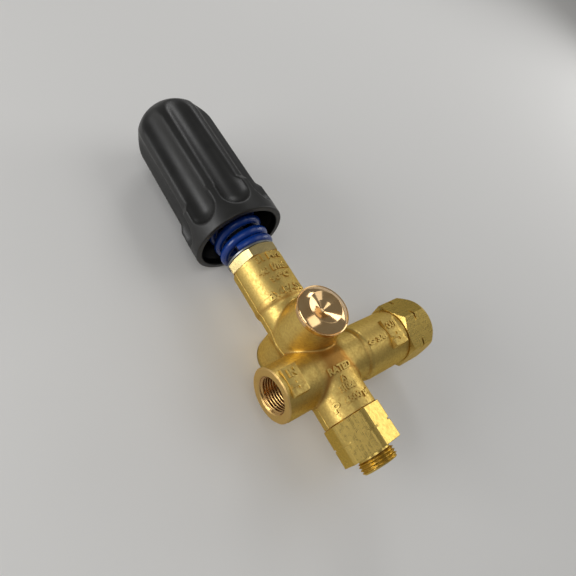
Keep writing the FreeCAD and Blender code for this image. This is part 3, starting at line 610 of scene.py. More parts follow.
@dataclass(frozen=True)
class Finish:
    """A procedural finish. Depths are in millimetres, finenesses in features per metre."""

    PLAIN_GLOSS: ClassVar[float] = 0.5
    # Specular level of plastic where painted shade darkens a recess.
    PAINTED_SHADE_GLOSS: ClassVar[float] = 0.05
    COAT_ROUGHNESS: ClassVar[float] = 0.06

    name: str
    slot: str
    colour: Colour
    shade: Colour
    roughness: float
    metallic: float = 1.0
    roughness_swing: float = 0.08
    patina: float = 0.35
    patina_fineness: float = 90.0
    grain_depth: float = 0.0
    grain_fineness: float = 2600.0
    tool_depth: float = 0.0
    tool_fineness: float = 500.0
    streak_depth: float = 0.0
    streak_fineness: float = 2400.0
    # Colour of painted shade, mixed in by the mesh's painted-shade attribute.
    painted_shade: Colour | None = None
    machined: Colour | None = None
    edge: Colour | None = None
    coat: float = 0.0
    axis: Facing = Facing.UP
    centre: Triple = (28.0, 0.0, 0.0)

    def material(self) -> bpy.types.Material:
        """The material of this finish, built once.

        The colour goes from colour to shade by the patina mask, and towards a darker painted-shade colour where
        the mesh marks creases and recesses. The roughness swings with the grain or streaks, and the heights
        of grain, tool marks and streaks add up in one bump.
        """
        title = f"{self.name}_finish"
        known = bpy.data.materials.get(title)
        if known:
            return known
        material = bpy.data.materials.new(title)
        material.use_nodes = True
        wiring = Wiring(material.node_tree)
        place = wiring.add("TexCoord").outputs["Object"]
        centred = wiring.add("Mapping", {"Vector": place, "Location": tuple(-c * MM for c in self.centre)})
        turned = wiring.add("Mapping", {"Vector": centred.outputs["Vector"], "Rotation": self._turn()})
        vector = turned.outputs["Vector"]
        patina = Effect.PATINA.placed(wiring, vector, self.patina_fineness)
        share = wiring.math("MULTIPLY", patina.outputs["Mask"], self.patina)
        colour = wiring.tint(share, (*self.colour, 1), (*self.shade, 1))
        # Painted shade: a darker colour is mixed in where the mesh's attribute marks creases, recesses and the feet of
        # raised letters.
        if self.painted_shade:
            painted_shade_mask = wiring.add("Attribute", attribute_name="painted_shade").outputs["Fac"]
            colour = wiring.tint(painted_shade_mask, colour, (*self.painted_shade, 1))
        skin: Socket | float = 1.0
        if self.machined:
            cut = wiring.add("Attribute", attribute_name="machined").outputs["Fac"]
            colour = wiring.tint(cut, colour, (*self.machined, 1))
            skin = wiring.math("SUBTRACT", 1.0, cut)
        rough = wiring.math("MULTIPLY", wiring.math("SUBTRACT", patina.outputs["Mask"], 0.4), self.roughness_swing)
        heights: list[Socket] = []
        for effect, depth, fineness in (
            (Effect.GRAIN, self.grain_depth, self.grain_fineness),
            (Effect.TOOLING, self.tool_depth, self.tool_fineness),
            (Effect.DRAWN, self.streak_depth, self.streak_fineness),
        ):
            if depth > 0:
                node = effect.placed(wiring, vector, fineness)
                height = wiring.math("MULTIPLY", node.outputs["Height"], depth * MM)
                heights.append(wiring.math("MULTIPLY", height, skin))
                swing = wiring.math("SUBTRACT", node.outputs["Mask"], 0.5)
                rough = wiring.math("ADD", rough, wiring.math("MULTIPLY", swing, self.roughness_swing))
        rough = wiring.math("ADD", rough, self.roughness, clamp=True)
        shader = wiring.add("BsdfPrincipled", {"Base Color": colour, "Roughness": rough})
        # Painted shade on plastic: the specular level drops by the same mask, so the recess reflects less.
        if self.painted_shade and not self.metallic:
            lost = wiring.math("MULTIPLY", painted_shade_mask, self.PLAIN_GLOSS - self.PAINTED_SHADE_GLOSS)
            wiring.feed(shader.inputs["Specular IOR Level"], wiring.math("SUBTRACT", self.PLAIN_GLOSS, lost))
        shader.inputs["Metallic"].default_value = self.metallic
        if self.edge:
            shader.inputs["Specular Tint"].default_value = (*self.edge, 1)
        if self.coat:
            shader.inputs["Coat Weight"].default_value = self.coat
            shader.inputs["Coat Roughness"].default_value = self.COAT_ROUGHNESS
        if heights:
            total = heights[0]
            for height in heights[1:]:
                total = wiring.math("ADD", total, height)
            bump = wiring.add("Bump", {"Height": total, "Distance": 1.0, "Strength": 1.0})
            wiring.feed(shader.inputs["Normal"], bump.outputs["Normal"])
        wiring.add("OutputMaterial", {"Surface": shader.outputs[0]})
        return material

    def _turn(self) -> Triple:
        """Euler turn that brings the piece's axis to Z."""
        return tuple(Matrix(self.axis.value).to_euler("XYZ"))


BRASS = (0.72, 0.53, 0.16)
BRASS_SHADE = (0.50, 0.30, 0.085)
BRASS_EDGE = (0.90, 0.76, 0.42)

# Forged brass; its painted-shade colour darkens the blends' creases and the letters' feet.
FORGED = Finish("forged_brass", "forged_brass", BRASS, BRASS_SHADE, 0.46, roughness_swing=0.16, patina=0.55,
                patina_fineness=900.0, grain_depth=0.034, grain_fineness=1700.0, painted_shade=(0.46, 0.24, 0.06),
                machined=(0.64, 0.43, 0.16), edge=BRASS_EDGE)
THREAD = Finish("thread_brass", "forged_brass", (0.66, 0.42, 0.16), (0.45, 0.22, 0.08), 0.22, patina=0.6,
                tool_depth=0.002, axis=Facing.INLET)
GLAND = Finish("gland_brass", "turned_brass", (0.84, 0.68, 0.32), (0.66, 0.48, 0.18), 0.20, patina=0.5,
               tool_depth=0.002, tool_fineness=600.0)
BAR = Finish("bar_brass", "bar_brass", (0.68, 0.49, 0.14), (0.44, 0.28, 0.065), 0.30, roughness_swing=0.10,
             patina=0.35, patina_fineness=700.0, streak_depth=0.008, edge=BRASS_EDGE)
BAR_OUTLET = Finish("bar_brass_outlet", "bar_brass", (0.68, 0.49, 0.14), (0.44, 0.28, 0.065), 0.30,
                    roughness_swing=0.10,
                    patina=0.35, patina_fineness=700.0, streak_depth=0.008, edge=BRASS_EDGE, axis=Facing.OUTLET)
POLISHED = Finish("polished_brass", "polished_brass", (0.88, 0.62, 0.32), (0.72, 0.42, 0.17), 0.13,
                  roughness_swing=0.03, patina=0.7, tool_depth=0.0004, tool_fineness=900.0, axis=Facing.FRONT,
                  centre=(28.0, 0.0, 18.0))
INSERT = Finish("insert_brass", "turned_brass", (0.80, 0.62, 0.30), (0.62, 0.42, 0.17), 0.28,
                tool_depth=0.003)
# Black plastic; its painted-shade colour darkens the inside of the knob's mouth.
PLASTIC = Finish("charcoal_plastic", "black_plastic", (0.010, 0.010, 0.0095), (0.015, 0.015, 0.014), 0.42,
                 metallic=0.0, roughness_swing=0.08, grain_depth=0.006, grain_fineness=1800.0,
                 painted_shade=(0.003, 0.003, 0.003))
PAINT = Finish("blue_paint", "blue_paint", (0.002, 0.040, 0.270), (0.002, 0.026, 0.180), 0.30, metallic=0.0,
               roughness_swing=0.10, grain_depth=0.006, grain_fineness=700.0, coat=0.25)
STEEL = Finish("bright_steel", "bright_steel", (0.60, 0.59, 0.57), (0.44, 0.42, 0.40), 0.30, tool_depth=0.003)
WASHER = Finish("spring_washer", "bright_steel", (0.30, 0.31, 0.32), (0.20, 0.20, 0.21), 0.38, tool_depth=0.003)
RUBBER = Finish("seal_rubber", "seal_rubber", (0.018, 0.018, 0.018), (0.03, 0.03, 0.03), 0.62, metallic=0.0,
                grain_depth=0.004)
WHITE = Finish("white_plastic", "white_plastic", (0.78, 0.77, 0.72), (0.66, 0.64, 0.58), 0.45, metallic=0.0,
               grain_depth=0.003)


def settle_piece(thing: bpy.types.Object, body: Body, finish: Finish, nodes: Sequence[str] = ()) -> bpy.types.Object:
    """Dress a piece, let it ride on a CAD body and hide the CAD nodes that it replaces.

    Args:
        thing: The object, already in place.
        body: CAD body that carries it.
        finish: Its finish.
        nodes: CAD nodes that it stands for.

    Returns:
        The same object.
    """
    thing.data.materials.clear()
    thing.data.materials.append(finish.material())
    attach(thing, body.value)
    if nodes:
        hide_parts(*nodes)
    thing.data.calc_loop_triangles()
    log.info("%s: %d triangles on %s", thing.name, len(thing.data.loop_triangles), body.value)
    return thing


def new_object(name: str, mesh: bpy.types.Mesh) -> bpy.types.Object:
    """Object with this mesh at the origin, linked to the scene."""
    thing = bpy.data.objects.new(name, mesh)
    bpy.context.scene.collection.objects.link(thing)
    return thing


def build_piece(name: str, shell: Shell, body: Body, finish: Finish, nodes: Sequence[str] = (),
                crease_degrees: float = 32.0) -> bpy.types.Object:
    """Make a finished piece from a shell in the valve's frame."""
    return settle_piece(new_object(name, shell.to_mesh(name, crease_degrees)), body, finish, nodes)


@dataclass
class Forging:
    """Forged brass body: barrels, bosses, pads, parting line and machined bores."""

    inlet_reach: float = 28.0
    outlet_reach: float = 43.7
    upper_reach: float = 56.6
    lower_reach: float = 22.4
    plug_reach: float = 20.6
    bypass_reach: float = 24.0
    boss_rise: float = 18.0
    barrel_radius: float = 12.4
    neck_width: float = 12.0
    neck_depth: float = 11.4
    neck_top: float = 33.0
    lower_top: float = 3.0
    inlet_radius: float = 12.1
    waist_radius: float = 11.4
    outlet_radius: float = 12.9
    plug_boss_radius: float = 11.4
    draft: float = 0.12
    bypass_radius: float = 11.8
    port_radius: float = 8.33
    spare: float = 3.0
    skin: float = 0.05
    pitch: float = 0.42

    def parts(self, p: np.ndarray) -> list[np.ndarray]:
        """Signed distances of the forging's simple forms."""
        x, y, z = p.T
        main, branch = np.hypot(x, y), np.hypot(y, z)
        boss = np.hypot(x, z - self.boss_rise)
        oval = (np.hypot(x / self.neck_width, y / self.neck_depth) - 1) * self.neck_depth
        neck = np.maximum(oval, np.abs(z - 16) - 20)
        drafted = boss - self.draft * np.clip(self.plug_reach + y, 0, 14)
        spare = self.spare
        return [
            barrel(main, z, self.barrel_radius, self.neck_top, self.upper_reach + spare, 2.4),
            neck,
            barrel(main, z, self.barrel_radius, -self.lower_reach - spare, self.lower_top, 1.6),
            barrel(branch, x, self.inlet_radius, -self.inlet_reach - spare, 5.0, 1.5),
            barrel(branch, x, self.waist_radius, -10.0, 30.0, 1.0),
            barrel(branch, x, self.outlet_radius, 18.0, self.outlet_reach + spare, 1.8),
            barrel(drafted, -y, self.plug_boss_radius, -2.0, self.plug_reach + spare, 1.0),
            barrel(boss, y, self.bypass_radius, -2.0, self.bypass_reach + spare, 1.0),
        ]

    def distance(self, p: np.ndarray) -> np.ndarray:
        """Distance to the forging: its simple forms melted together one after the other."""
        upper, neck, lower, inlet, waist, outlet, plug, bypass = self.parts(p)
        stem = melt(melt(upper, neck, 1.6), lower, 2.0)
        branch = melt(melt(inlet, waist, 2.0), outlet, 1.2)
        cross = melt(stem, branch, 2.4)
        return melt(melt(cross, plug, 1.1), bypass, 1.8)

    def painted_shade(self, p: np.ndarray) -> np.ndarray:
        """How far a point lies in a blend, from 0 to 1: the smooth union less the plain one. It is the mask of painted
        shade in the creases.
        """
        depth = np.min(self.parts(p), axis=0) - self.distance(p)
        return np.clip(depth / 0.55, 0, 1) ** 1.3

    def cutters(self) -> list[Shell]:
        """Turned solids that cut the end faces, their chamfers and the bores."""
        far, edge = 17.0, 0.35
        top, foot = self.upper_reach, -self.lower_reach
        radius = self.barrel_radius
        main = [
            (0, foot - 8), (far, foot - 8), (far, foot + far - radius + edge), (radius - edge, foot), (9.0, foot),
            (9.0, foot + 10), (7.2, foot + 10), (7.2, 7.5), (8.2, 7.5), (8.2, 13.1), (8.6, 13.1), (8.6, 45.4),
            (10.5, 45.4), (10.5, top), (radius - edge, top), (far, top - far + radius - edge), (far, top + 8),
            (0, top + 8),
        ]
        near, end = -self.inlet_reach, self.outlet_reach
        port = self.port_radius
        lip_in, lip_out = self.inlet_radius - 0.5, self.outlet_radius - edge
        branch = [
            (0, near - 8), (far, near - 8), (far, near + far - lip_in), (lip_in, near), (port + 0.35, near),
            (port, near + 0.35), (port, near + 12), (5.5, near + 13.6), (5.5, 0), (5.0, 0), (5.0, 20.0), (8.2, 20.0),
            (8.2, 33.2), (10.0, 33.2), (10.0, end), (lip_out, end), (far, end - far + lip_out), (far, end + 8),
            (0, end + 8),
        ]
        front, rear = -self.plug_reach, self.bypass_reach
        lip_rear = self.bypass_radius - edge
        boss = [
            (0, front - 8), (far, front - 8), (far, front), (8.3, front), (8.3, front + 9.8), (5.5, front + 9.8),
            (5.5, rear - 13.6), (port, rear - 12), (port, rear - 0.35), (port + 0.35, rear), (lip_rear, rear),
            (far, rear - far + lip_rear), (far, rear + 8), (0, rear + 8),
        ]
        shells = []
        for outline, facing, rise in ((main, Facing.UP, 0), (branch, Facing.OUTLET, 0),
                                      (boss, Facing.REAR, self.boss_rise)):
            shells.append(spun(np.array(outline, float), columns=120).turned(facing, (0, 0, rise)))
        return shells

    def build_body(self) -> None:
        """Draw the forging through its distance function and machine it."""
        room = self.spare + 1
        low = tuple(-reach - room for reach in (self.inlet_reach, self.plug_reach, self.lower_reach))
        high = tuple(reach + room for reach in (self.outlet_reach, self.bypass_reach, self.upper_reach))
        shell = NetGrid(low, high, self.pitch).surface(self.distance).turned(Facing.UP)
        body = new_object("forged_body", shell.to_mesh("forged_body"))
        for index, cutter in enumerate(self.cutters()):
            tool = new_object(f"cutter_{index}", cutter.to_mesh(f"cutter_{index}"))
            cut = body.modifiers.new(f"cut_{index}", "BOOLEAN")
            cut.operation, cut.solver, cut.object = "DIFFERENCE", "EXACT", tool
        bpy.context.view_layer.update()
        graph = bpy.context.evaluated_depsgraph_get()
        machined = bpy.data.meshes.new_from_object(body.evaluated_get(graph))
        body.modifiers.clear()
        body.data = machined
        machined.name = "forged_body"
        for index in range(3):
            bpy.data.objects.remove(bpy.data.objects[f"cutter_{index}"])
        finish_shading(machined, 30.0)
        # Painted shade: the creases of the blends get a darker orange-brown, as shade and brass reflecting brass would
        # give.
        store(machined, "painted_shade", self.painted_shade(places(machined.vertices, "co")))
        store(machined, "machined", self.distance(places(machined.polygons, "center")) < -self.skin, "FACE")
        settle_piece(body, Body.ROOT, FORGED, ["valve_body"])

    def parting_line(self) -> Shell:
        """Thin raised lines where the die halves met, in the plane y = 0 along the outline."""
        b, i, o = self.barrel_radius, self.inlet_radius, self.outlet_radius
        top, foot, near, end = self.upper_reach, -self.lower_reach, -self.inlet_reach, self.outlet_reach
        ways = (
            ((-b, top - 0.4), (-b, i), (near + 0.7, i)), ((near + 0.7, -i), (-b, -i), (-b, foot + 0.4)),
            ((b, foot + 0.4), (b, -o), (end - 0.5, -o)), ((end - 0.5, o), (b, o), (b, top - 0.4)),
        )
        lines = []
        for way in ways:
            corners = np.array([(x, 0.0, z) for x, z in way])
            spans = [int(np.linalg.norm(b - a) / 0.6) for a, b in zip(corners, corners[1:])]
            pieces = [a + (b - a) * np.linspace(0, 1, n, endpoint=False)[:, None]
                      for a, b, n in zip(corners, corners[1:], spans)]
            path = np.concatenate(pieces + [corners[-1:]])
            for _ in range(12):
                path = settled(path, self.distance, flat=True)
            lines.append(swept(path, 0.24, 8, (0, 1, 0)))
        return Shell.joined(lines)

    def pads(self) -> Shell:
        """Two direction pads: a frustum each, with its face towards the front."""
        shells = []
        for near, far, low, high, face in (
            (-25.6, -18.2, -6.3, 5.9, self.inlet_radius + 0.7), (32.6, 40.3, -7.7, 6.1, self.outlet_radius + 0.7),
        ):
            middle = np.array([(near + far) / 2, (low + high) / 2])
            half = np.array([(far - near) / 2, (high - low) / 2])
            corner = np.array([(-1, -1), (1, -1), (1, 1), (-1, 1)])
            rows = []
            for depth, grow in ((5.0, 0.0), (5.0, 0.35), (0.2, 0.05), (0.06, 0.0), (0.0, -0.14), (0.0, 0.0)):
                spots = self._soft_square(half + grow, 0.5, corner)
                rows.append(np.column_stack([spots[:, 0] + middle[0], np.full(len(spots), depth - face),
                                             spots[:, 1] + middle[1]]))
            rows[0][:] = rows[0].mean(axis=0)
            rows[-1][:] = rows[-1].mean(axis=0)
            shells.append(lattice(np.stack(rows)))
        return Shell.joined(shells)

    @staticmethod
    def _soft_square(half: np.ndarray, rounding: float, corner: np.ndarray) -> np.ndarray:
        """Outline of a rectangle with rounded corners, five points to a corner."""
        starts = np.radians([180, 270, 0, 90])
        sweep = np.radians(np.linspace(0, 90, 5))
        angle = starts[:, None] + sweep[None, :]
        centre = corner * (half - rounding)
        spots = centre[:, None] + rounding * np.stack([np.cos(angle), np.sin(angle)], axis=-1)
        return spots.reshape(-1, 2)

    def build(self) -> None:
        """Build the body and what stands on it."""
        self.build_body()
        build_piece("parting_line", self.parting_line().turned(Facing.UP), Body.ROOT, FORGED, crease_degrees=60.0)
        build_piece("direction_pads", self.pads().turned(Facing.UP), Body.ROOT, FORGED, crease_degrees=24.0)


class Seat(Enum):
    """Where a raised mark stands."""

    UPPER_BARREL = "upper barrel"
    LOWER_BARREL = "lower barrel"
    OUTLET_BARREL = "outlet barrel"
    INLET_PAD = "inlet pad"
    OUTLET_PAD = "outlet pad"


@dataclass(frozen=True)
class Mark:
    """A generic raised word between two places on its seat: millimetres, or degrees round a barrel."""

    words: str
    seat: Seat
    start: float
    end: float
    middle: float
    height: float


MARKS = (
    Mark("31 MPa", Seat.UPPER_BARREL, -122.0, -62.0, 54.2, 3.5),
    Mark("40 l/min", Seat.UPPER_BARREL, -132.0, -57.0, 48.2, 3.7),
    Mark("90°C", Seat.UPPER_BARREL, -117.0, -72.0, 43.2, 3.2),
    Mark("BY-PASS", Seat.UPPER_BARREL, -138.0, -57.0, 36.3, 3.9),
    Mark("RATED", Seat.LOWER_BARREL, -119.0, -68.0, -4.2, 3.2),
    Mark("AT", Seat.LOWER_BARREL, -105.0, -89.0, -8.6, 2.5),
    Mark("310bar", Seat.LOWER_BARREL, -116.0, -77.0, -12.1, 3.2),
    Mark("4500 psi", Seat.LOWER_BARREL, -120.0, -58.0, -17.4, 3.6),
    Mark("P", Seat.LOWER_BARREL, -147.0, -130.0, -17.2, 4.2),
    Mark("G 3/8", Seat.OUTLET_BARREL, 19.5, 31.0, -1.0, 2.6),
    Mark("IN", Seat.INLET_PAD, -24.0, -19.9, 2.7, 3.5),
    Mark("OUT", Seat.OUTLET_PAD, 33.3, 39.4, 2.4, 3.3),
)


@dataclass
class Lettering:
    """Raised generic lettering and flow arrows on the forging."""

    forging: Forging
    rise: float = 0.5
    sink: float = 0.6
    bevel: float = 0.1
    swell: float = 0.16
    pad_rise: float = 0.7
    foot_shade: float = 2.6

    def word(self, mark: Mark) -> Shell:
        """One word as a closed shell, stretched to its height and to a length of 1."""
        curve = bpy.data.curves.new("lettering", "FONT")
        curve.body, curve.size = mark.words, mark.height * 1.42
        curve.extrude, curve.bevel_depth, curve.bevel_resolution = self.sink, self.bevel, 1
        curve.offset, curve.resolution_u = self.swell, 4
        holder = new_object("lettering", curve)
        bpy.context.view_layer.update()
        mesh = bpy.data.meshes.new_from_object(holder)
        mesh.calc_loop_triangles()
        points = np.zeros(len(mesh.vertices) * 3)
        mesh.vertices.foreach_get("co", points)
        faces = np.zeros(len(mesh.loop_triangles) * 3, int)
        mesh.loop_triangles.foreach_get("vertices", faces)
        bpy.data.objects.remove(holder)
        bpy.data.meshes.remove(mesh)
        points = points.reshape(-1, 3)
        low, high = points.min(axis=0), points.max(axis=0)
        points[:, 0] = (points[:, 0] - low[0]) / (high[0] - low[0])
        points[:, 1] = ((points[:, 1] - low[1]) / (high[1] - low[1]) - 0.5) * mark.height
        return Shell(points, np.zeros((0, 4), int), faces.reshape(-1, 3))

    def arrow(self, tail: float, neck: float, tip: float, wing: float, up: float, face: float) -> Shell:
        """Flat arrow along +X on a pad; its shaft ends at the neck, where the wings stand out."""
        shaft = 0.62
        outline = np.array([(tail, -shaft), (neck, -shaft), (neck, -wing), (tip, 0.0), (neck, wing), (neck, shaft),
                            (tail, shaft)])
        middle = np.array([(neck + tip) / 2, 0.0])
        rows = []
        for lift, shrink in ((-self.sink, 0.0), (-self.sink, 1.0), (self.rise - self.bevel, 1.0), (self.rise, 0.94),
                             (self.rise, 0.0)):
            spots = middle + (outline - middle) * shrink
            rows.append(np.column_stack([spots[:, 0], np.full(len(spots), -face - lift), spots[:, 1] + up]))
        return lattice(np.stack(rows))

    def wrapped(self, mark: Mark) -> Shell:
        """Lay a word on its seat.

        Its length runs from start to end. On a pad it stays flat. On a barrel each of its
        points first lies on the skin below it, at middle + r way, with r found by repeating
        r - distance, and is then raised along the same way.
        """
        shell = self.word(mark)
        x, y, z = shell.points.T
        z = (z - self.sink + self.rise)[:, None]
        forging = self.forging
        along = mark.start + (mark.end - mark.start) * x
        if mark.seat in (Seat.INLET_PAD, Seat.OUTLET_PAD):
            radius = forging.inlet_radius if mark.seat is Seat.INLET_PAD else forging.outlet_radius
            shell.points = np.stack([along, -(radius + self.pad_rise + z[:, 0]), mark.middle + y], axis=-1)
            return shell
        nothing = 0 * x
        if mark.seat is Seat.OUTLET_BARREL:
            angle = (mark.middle + y) / forging.outlet_radius
            middle, way = np.stack([along, nothing, nothing]), np.stack([nothing, -np.cos(angle), np.sin(angle)])
        else:
            angle = np.radians(along)
            middle = np.stack([nothing, nothing, mark.middle + y])
            way = np.stack([np.cos(angle), np.sin(angle), nothing])
        middle, way = middle.T, way.T
        reach = np.full((len(x), 1), forging.barrel_radius)
        for _ in range(12):
            reach -= forging.distance(middle + way * reach)[:, None]
        shell.points = middle + way * (reach + z)
        return shell

    def build(self) -> None:
        """Build all words and both arrows as one piece."""
        shells = [self.wrapped(mark).outward() for mark in MARKS]
        inlet, outlet = (r + self.pad_rise for r in (self.forging.inlet_radius, self.forging.outlet_radius))
        shells.append(self.arrow(-25.2, -22.2, -19.1, 1.8, -2.5, inlet).outward())
        shells.append(self.arrow(33.2, 36.5, 40.1, 2.0, -3.6, outlet).outward())
        whole = Shell.joined(shells)
        piece = build_piece("raised_lettering", whole.turned(Facing.UP), Body.ROOT, FORGED, crease_degrees=40.0)
        # Painted shadow at the letters' feet: the points sunk into the forging take the darker painted-shade colour.
        store(piece.data, "painted_shade", np.where(self.forging.distance(whole.points) < 0, self.foot_shade, 0.0))


@dataclass
class PortThread:
    """Female pipe thread in a port, as a sleeve against the port's wall."""

    name: str
    facing: Facing
    shift: Triple
    mouth: float
    wall: float = 8.33
    crest: float = 7.42
    pitch: float = 1.337
    length: float = 11.6
    countersink: float = 0.35
    sleeve: float = 0.12

    def shell(self) -> Shell:
        """Sleeve whose inside is crest + rise (0.5 - 0.5 cos(2 pi s / pitch - a)) at depth s and angle a."""
        angle = np.linspace(0, FULL_TURN, 120, endpoint=False)
        depth = np.arange(self.countersink, self.length, self.pitch / 14)[:, None]
        wave = 0.5 - 0.5 * np.cos(FULL_TURN * depth / self.pitch - angle)
        inner = self.crest + (self.wall - self.crest) * wave**0.8
        lead = self.wall - 0.02 - (depth - self.countersink) * 0.9
        rows = [(radius, self.mouth - at) for radius, at in zip(np.maximum(inner, lead), depth)]
        rows += [(self.wall + self.sleeve, self.mouth - at) for at in (depth[-1], depth[0])]
        return columned(rows, angle).turned(self.facing, self.shift)

    def build(self, finish: Finish) -> None:
        """Build the sleeve."""
        build_piece(self.name, self.shell(), Body.ROOT, finish, crease_degrees=50.0)


@dataclass
class HexFitting:
    """Piece cut from hexagonal bar: the part of its outline that follows the hexagon."""

    across_flats: float
    turn: float
    land: float

    def angles(self, extra: Sequence[float] = ()) -> np.ndarray:
        """Columns with one at each break between a flat and a turned land."""
        corner = self.across_flats / math.sqrt(3)
        breaks = [corner_offset(self.across_flats, radius) for radius in (self.land, *extra) if radius < corner]
        return hexagon_angles(self.turn, breaks)

    def outer(self, angle: np.ndarray) -> np.ndarray:
        """Radius of the bar in each direction, turned down to its land."""
        return np.minimum(hexagon_radius(angle, self.across_flats, self.turn), self.land)

    def cone(self, angle: np.ndarray, height: float, sign: float, start: float, slope: float = 30.0) -> np.ndarray:
        """Height where a corner cone leaves each column; it starts at a radius on an end, the top (1) or foot (-1)."""
        return height - sign * (self.outer(angle) - start) * math.tan(math.radians(slope))


@dataclass
class Gland:
    """Gland nut over the upper barrel, with the spring's washer on it."""

    bar: HexFitting = field(default_factory=lambda: HexFitting(23.0, 58.6, 13.2))
    foot: float = 56.6
    height: float = 5.1
    bevel: float = 0.15
    top_radius: float = 11.4
    thread_radius: float = 10.4
    thread_length: float = 10.9
    bore: float = 4.1
    seal_radius: float = 6.0
    seal_depths: tuple[float, float] = (4.4, 7.4)
    washer_radii: tuple[float, float] = (4.6, 12.2)
    washer_thickness: float = 1.0

    def build(self) -> None:
        """Build gland and washer."""
        angle = self.bar.angles()
        outer, foot, bore, neck = self.bar.outer(angle), self.foot, self.bore, self.thread_radius
        top, low = foot + self.height, foot - self.thread_length
        upper, lower = (foot - depth for depth in self.seal_depths)
        rows = [
            (bore, low), (neck, low), (neck, foot), (outer - self.bevel, foot), (outer, foot + self.bevel),
            (outer, self.bar.cone(angle, top, 1, self.top_radius)), (self.top_radius, top), (bore, top),
            (bore, upper), (self.seal_radius, upper), (self.seal_radius, lower), (bore, lower),
        ]
        gland = columned(rows, angle).turned(Facing.UP)
        build_piece("gland_hexagon", gland, Body.ROOT, GLAND, ["gland_nut"], crease_degrees=22.0)
        (hole, rim), crown = self.washer_radii, top + self.washer_thickness
        washer = rounded([(hole, top, 0.1), (rim, top, 0.25), (rim, crown, 0.25), (hole, crown, 0.1)], ring=True)
        ring = spun(washer, columns=120, ring=True).turned(Facing.UP)
        build_piece("spring_foot_washer", ring, Body.ROOT, WASHER, ["lower_spring_washer"])


@dataclass
class LowerFitting:
    """Hexagonal fitting below the body with a threaded stub."""

    bar: HexFitting = field(default_factory=lambda: HexFitting(24.0, 18.0, 13.25))
    top: float = -22.4
    height: float = 16.6
    notch: float = 8.1
    stub_radius: float = 8.33
    undercut: float = 1.2
    stub_length: float = 6.0
    stub_chamfer: float = 1.0
    pitch: float = 1.337
    thread_depth: float = 0.82
    ring_depth: float = 0.6
    spigot_radius: float = 8.9
    spigot_length: float = 9.8
    groove_radius: float = 7.4
    groove: tuple[float, float] = (8.2, 6.0)
    chamber_radius: float = 5.5
    chamber_depth: float = 8.0
    bore: float = 2.5

    def build(self) -> None:
        """Build the fitting.

        Its stub has the radius R - d (0.5 + 0.5 cos(2 pi s / pitch - a)) at depth s and angle a,
        which fades in behind the undercut and is cut by the chamfer at its end.
        """
        ring = self.bar.land - self.ring_depth
        angle = self.bar.angles((ring,))
        outer, top, low = self.bar.outer(angle), self.top, self.top - self.height
        cut = np.minimum(outer, ring)
        notch = top - self.notch
        end = low - self.stub_length
        neck = self.stub_radius - self.undercut
        spigot, crown = self.spigot_radius, top + self.spigot_length
        upper, lower = (top + height for height in self.groove)
        rows: list[tuple[np.ndarray | float, np.ndarray | float]] = [
            (self.chamber_radius, crown), (spigot, crown), (spigot, upper), (self.groove_radius, upper),
            (self.groove_radius, lower), (spigot, lower), (spigot, top), (outer - 0.18, top), (outer, top - 0.18),
            (outer, notch), (cut, notch - 0.06), (cut, notch - 0.84), (outer, notch - 0.9),
            (outer, low + 0.2), (outer - 0.2, low), (neck, low), (neck, low - 1.15),
        ]
        depth = np.arange(1.2, self.stub_length - 0.02, self.pitch / 14)
        for step in depth:
            wave = 0.5 + 0.5 * np.cos(FULL_TURN * step / self.pitch - angle)
            radius = self.stub_radius - self.thread_depth * wave**0.8
            fade = min(1.0, (step - 1.0) / 0.5)
            limit = self.stub_radius - self.stub_chamfer + (self.stub_length - step)
            radius = neck * (1 - fade) + radius * fade
            rows.append((np.minimum(radius, limit), low - step))
        seat = top - self.chamber_depth
        rows += [(6.9, end), (self.bore + 0.5, end), (self.bore, end + 0.5), (self.bore, seat),
                 (self.chamber_radius, seat)]
        shell = columned(rows, angle).turned(Facing.UP)
        build_piece("bottom_hexagon", shell, Body.ROOT, BAR, ["lower_fitting"], crease_degrees=18.0)


@dataclass
class OutletFitting:
    """Hexagonal outlet fitting with a threaded port."""

    bar: HexFitting = field(default_factory=lambda: HexFitting(27.0, 23.0, 15.4))
    near: float = 43.7
    length: float = 17.5
    notch: float = 7.3
    ring_depth: float = 1.3
    near_radius: float = 13.4
    end_radius: float = 13.35
    end_slope: float = 58.0
    spigot_radius: float = 9.9
    spigot_length: float = 10.3
    groove_radius: float = 8.4
    groove: tuple[float, float] = (1.6, 3.8)
    spring_radius: float = 6.6
    spring_depth: float = 6.8
    passage: float = 5.0
    port_radius: float = 8.33
    port_depth: float = 12.0

    def build(self) -> None:
        """Build the fitting and its port thread."""
        ring = self.bar.land - self.ring_depth
        angle = self.bar.angles((ring,))
        outer, near, end = self.bar.outer(angle), self.near, self.near + self.length
        cut = np.minimum(outer, ring)
        mark, inside = near + self.notch, near - self.spigot_length
        spigot, (low, high) = self.spigot_radius, (inside + depth for depth in self.groove)
        seat, floor = inside + self.spring_depth, end - self.port_depth
        rows = [
            (self.spring_radius, inside), (spigot, inside), (spigot, low), (self.groove_radius, low),
            (self.groove_radius, high), (spigot, high), (spigot, near), (self.near_radius, near),
            (outer, self.bar.cone(angle, near, -1, self.near_radius)), (outer, mark), (cut, mark + 0.06),
            (cut, mark + 0.84), (outer, mark + 0.9),
            (outer, self.bar.cone(angle, end, 1, self.end_radius, self.end_slope)), (self.end_radius, end),
            (self.port_radius + 0.37, end), (self.port_radius, end - 0.4), (self.port_radius, floor),
            (self.passage, floor), (self.passage, seat), (self.spring_radius, seat),
        ]
        shell = columned(rows, angle).turned(Facing.OUTLET)
        build_piece("branch_hexagon", shell, Body.ROOT, BAR_OUTLET, ["outlet_fitting"], crease_degrees=18.0)
        PortThread("outlet_thread", Facing.OUTLET, (0, 0, 0), end).build(THREAD)


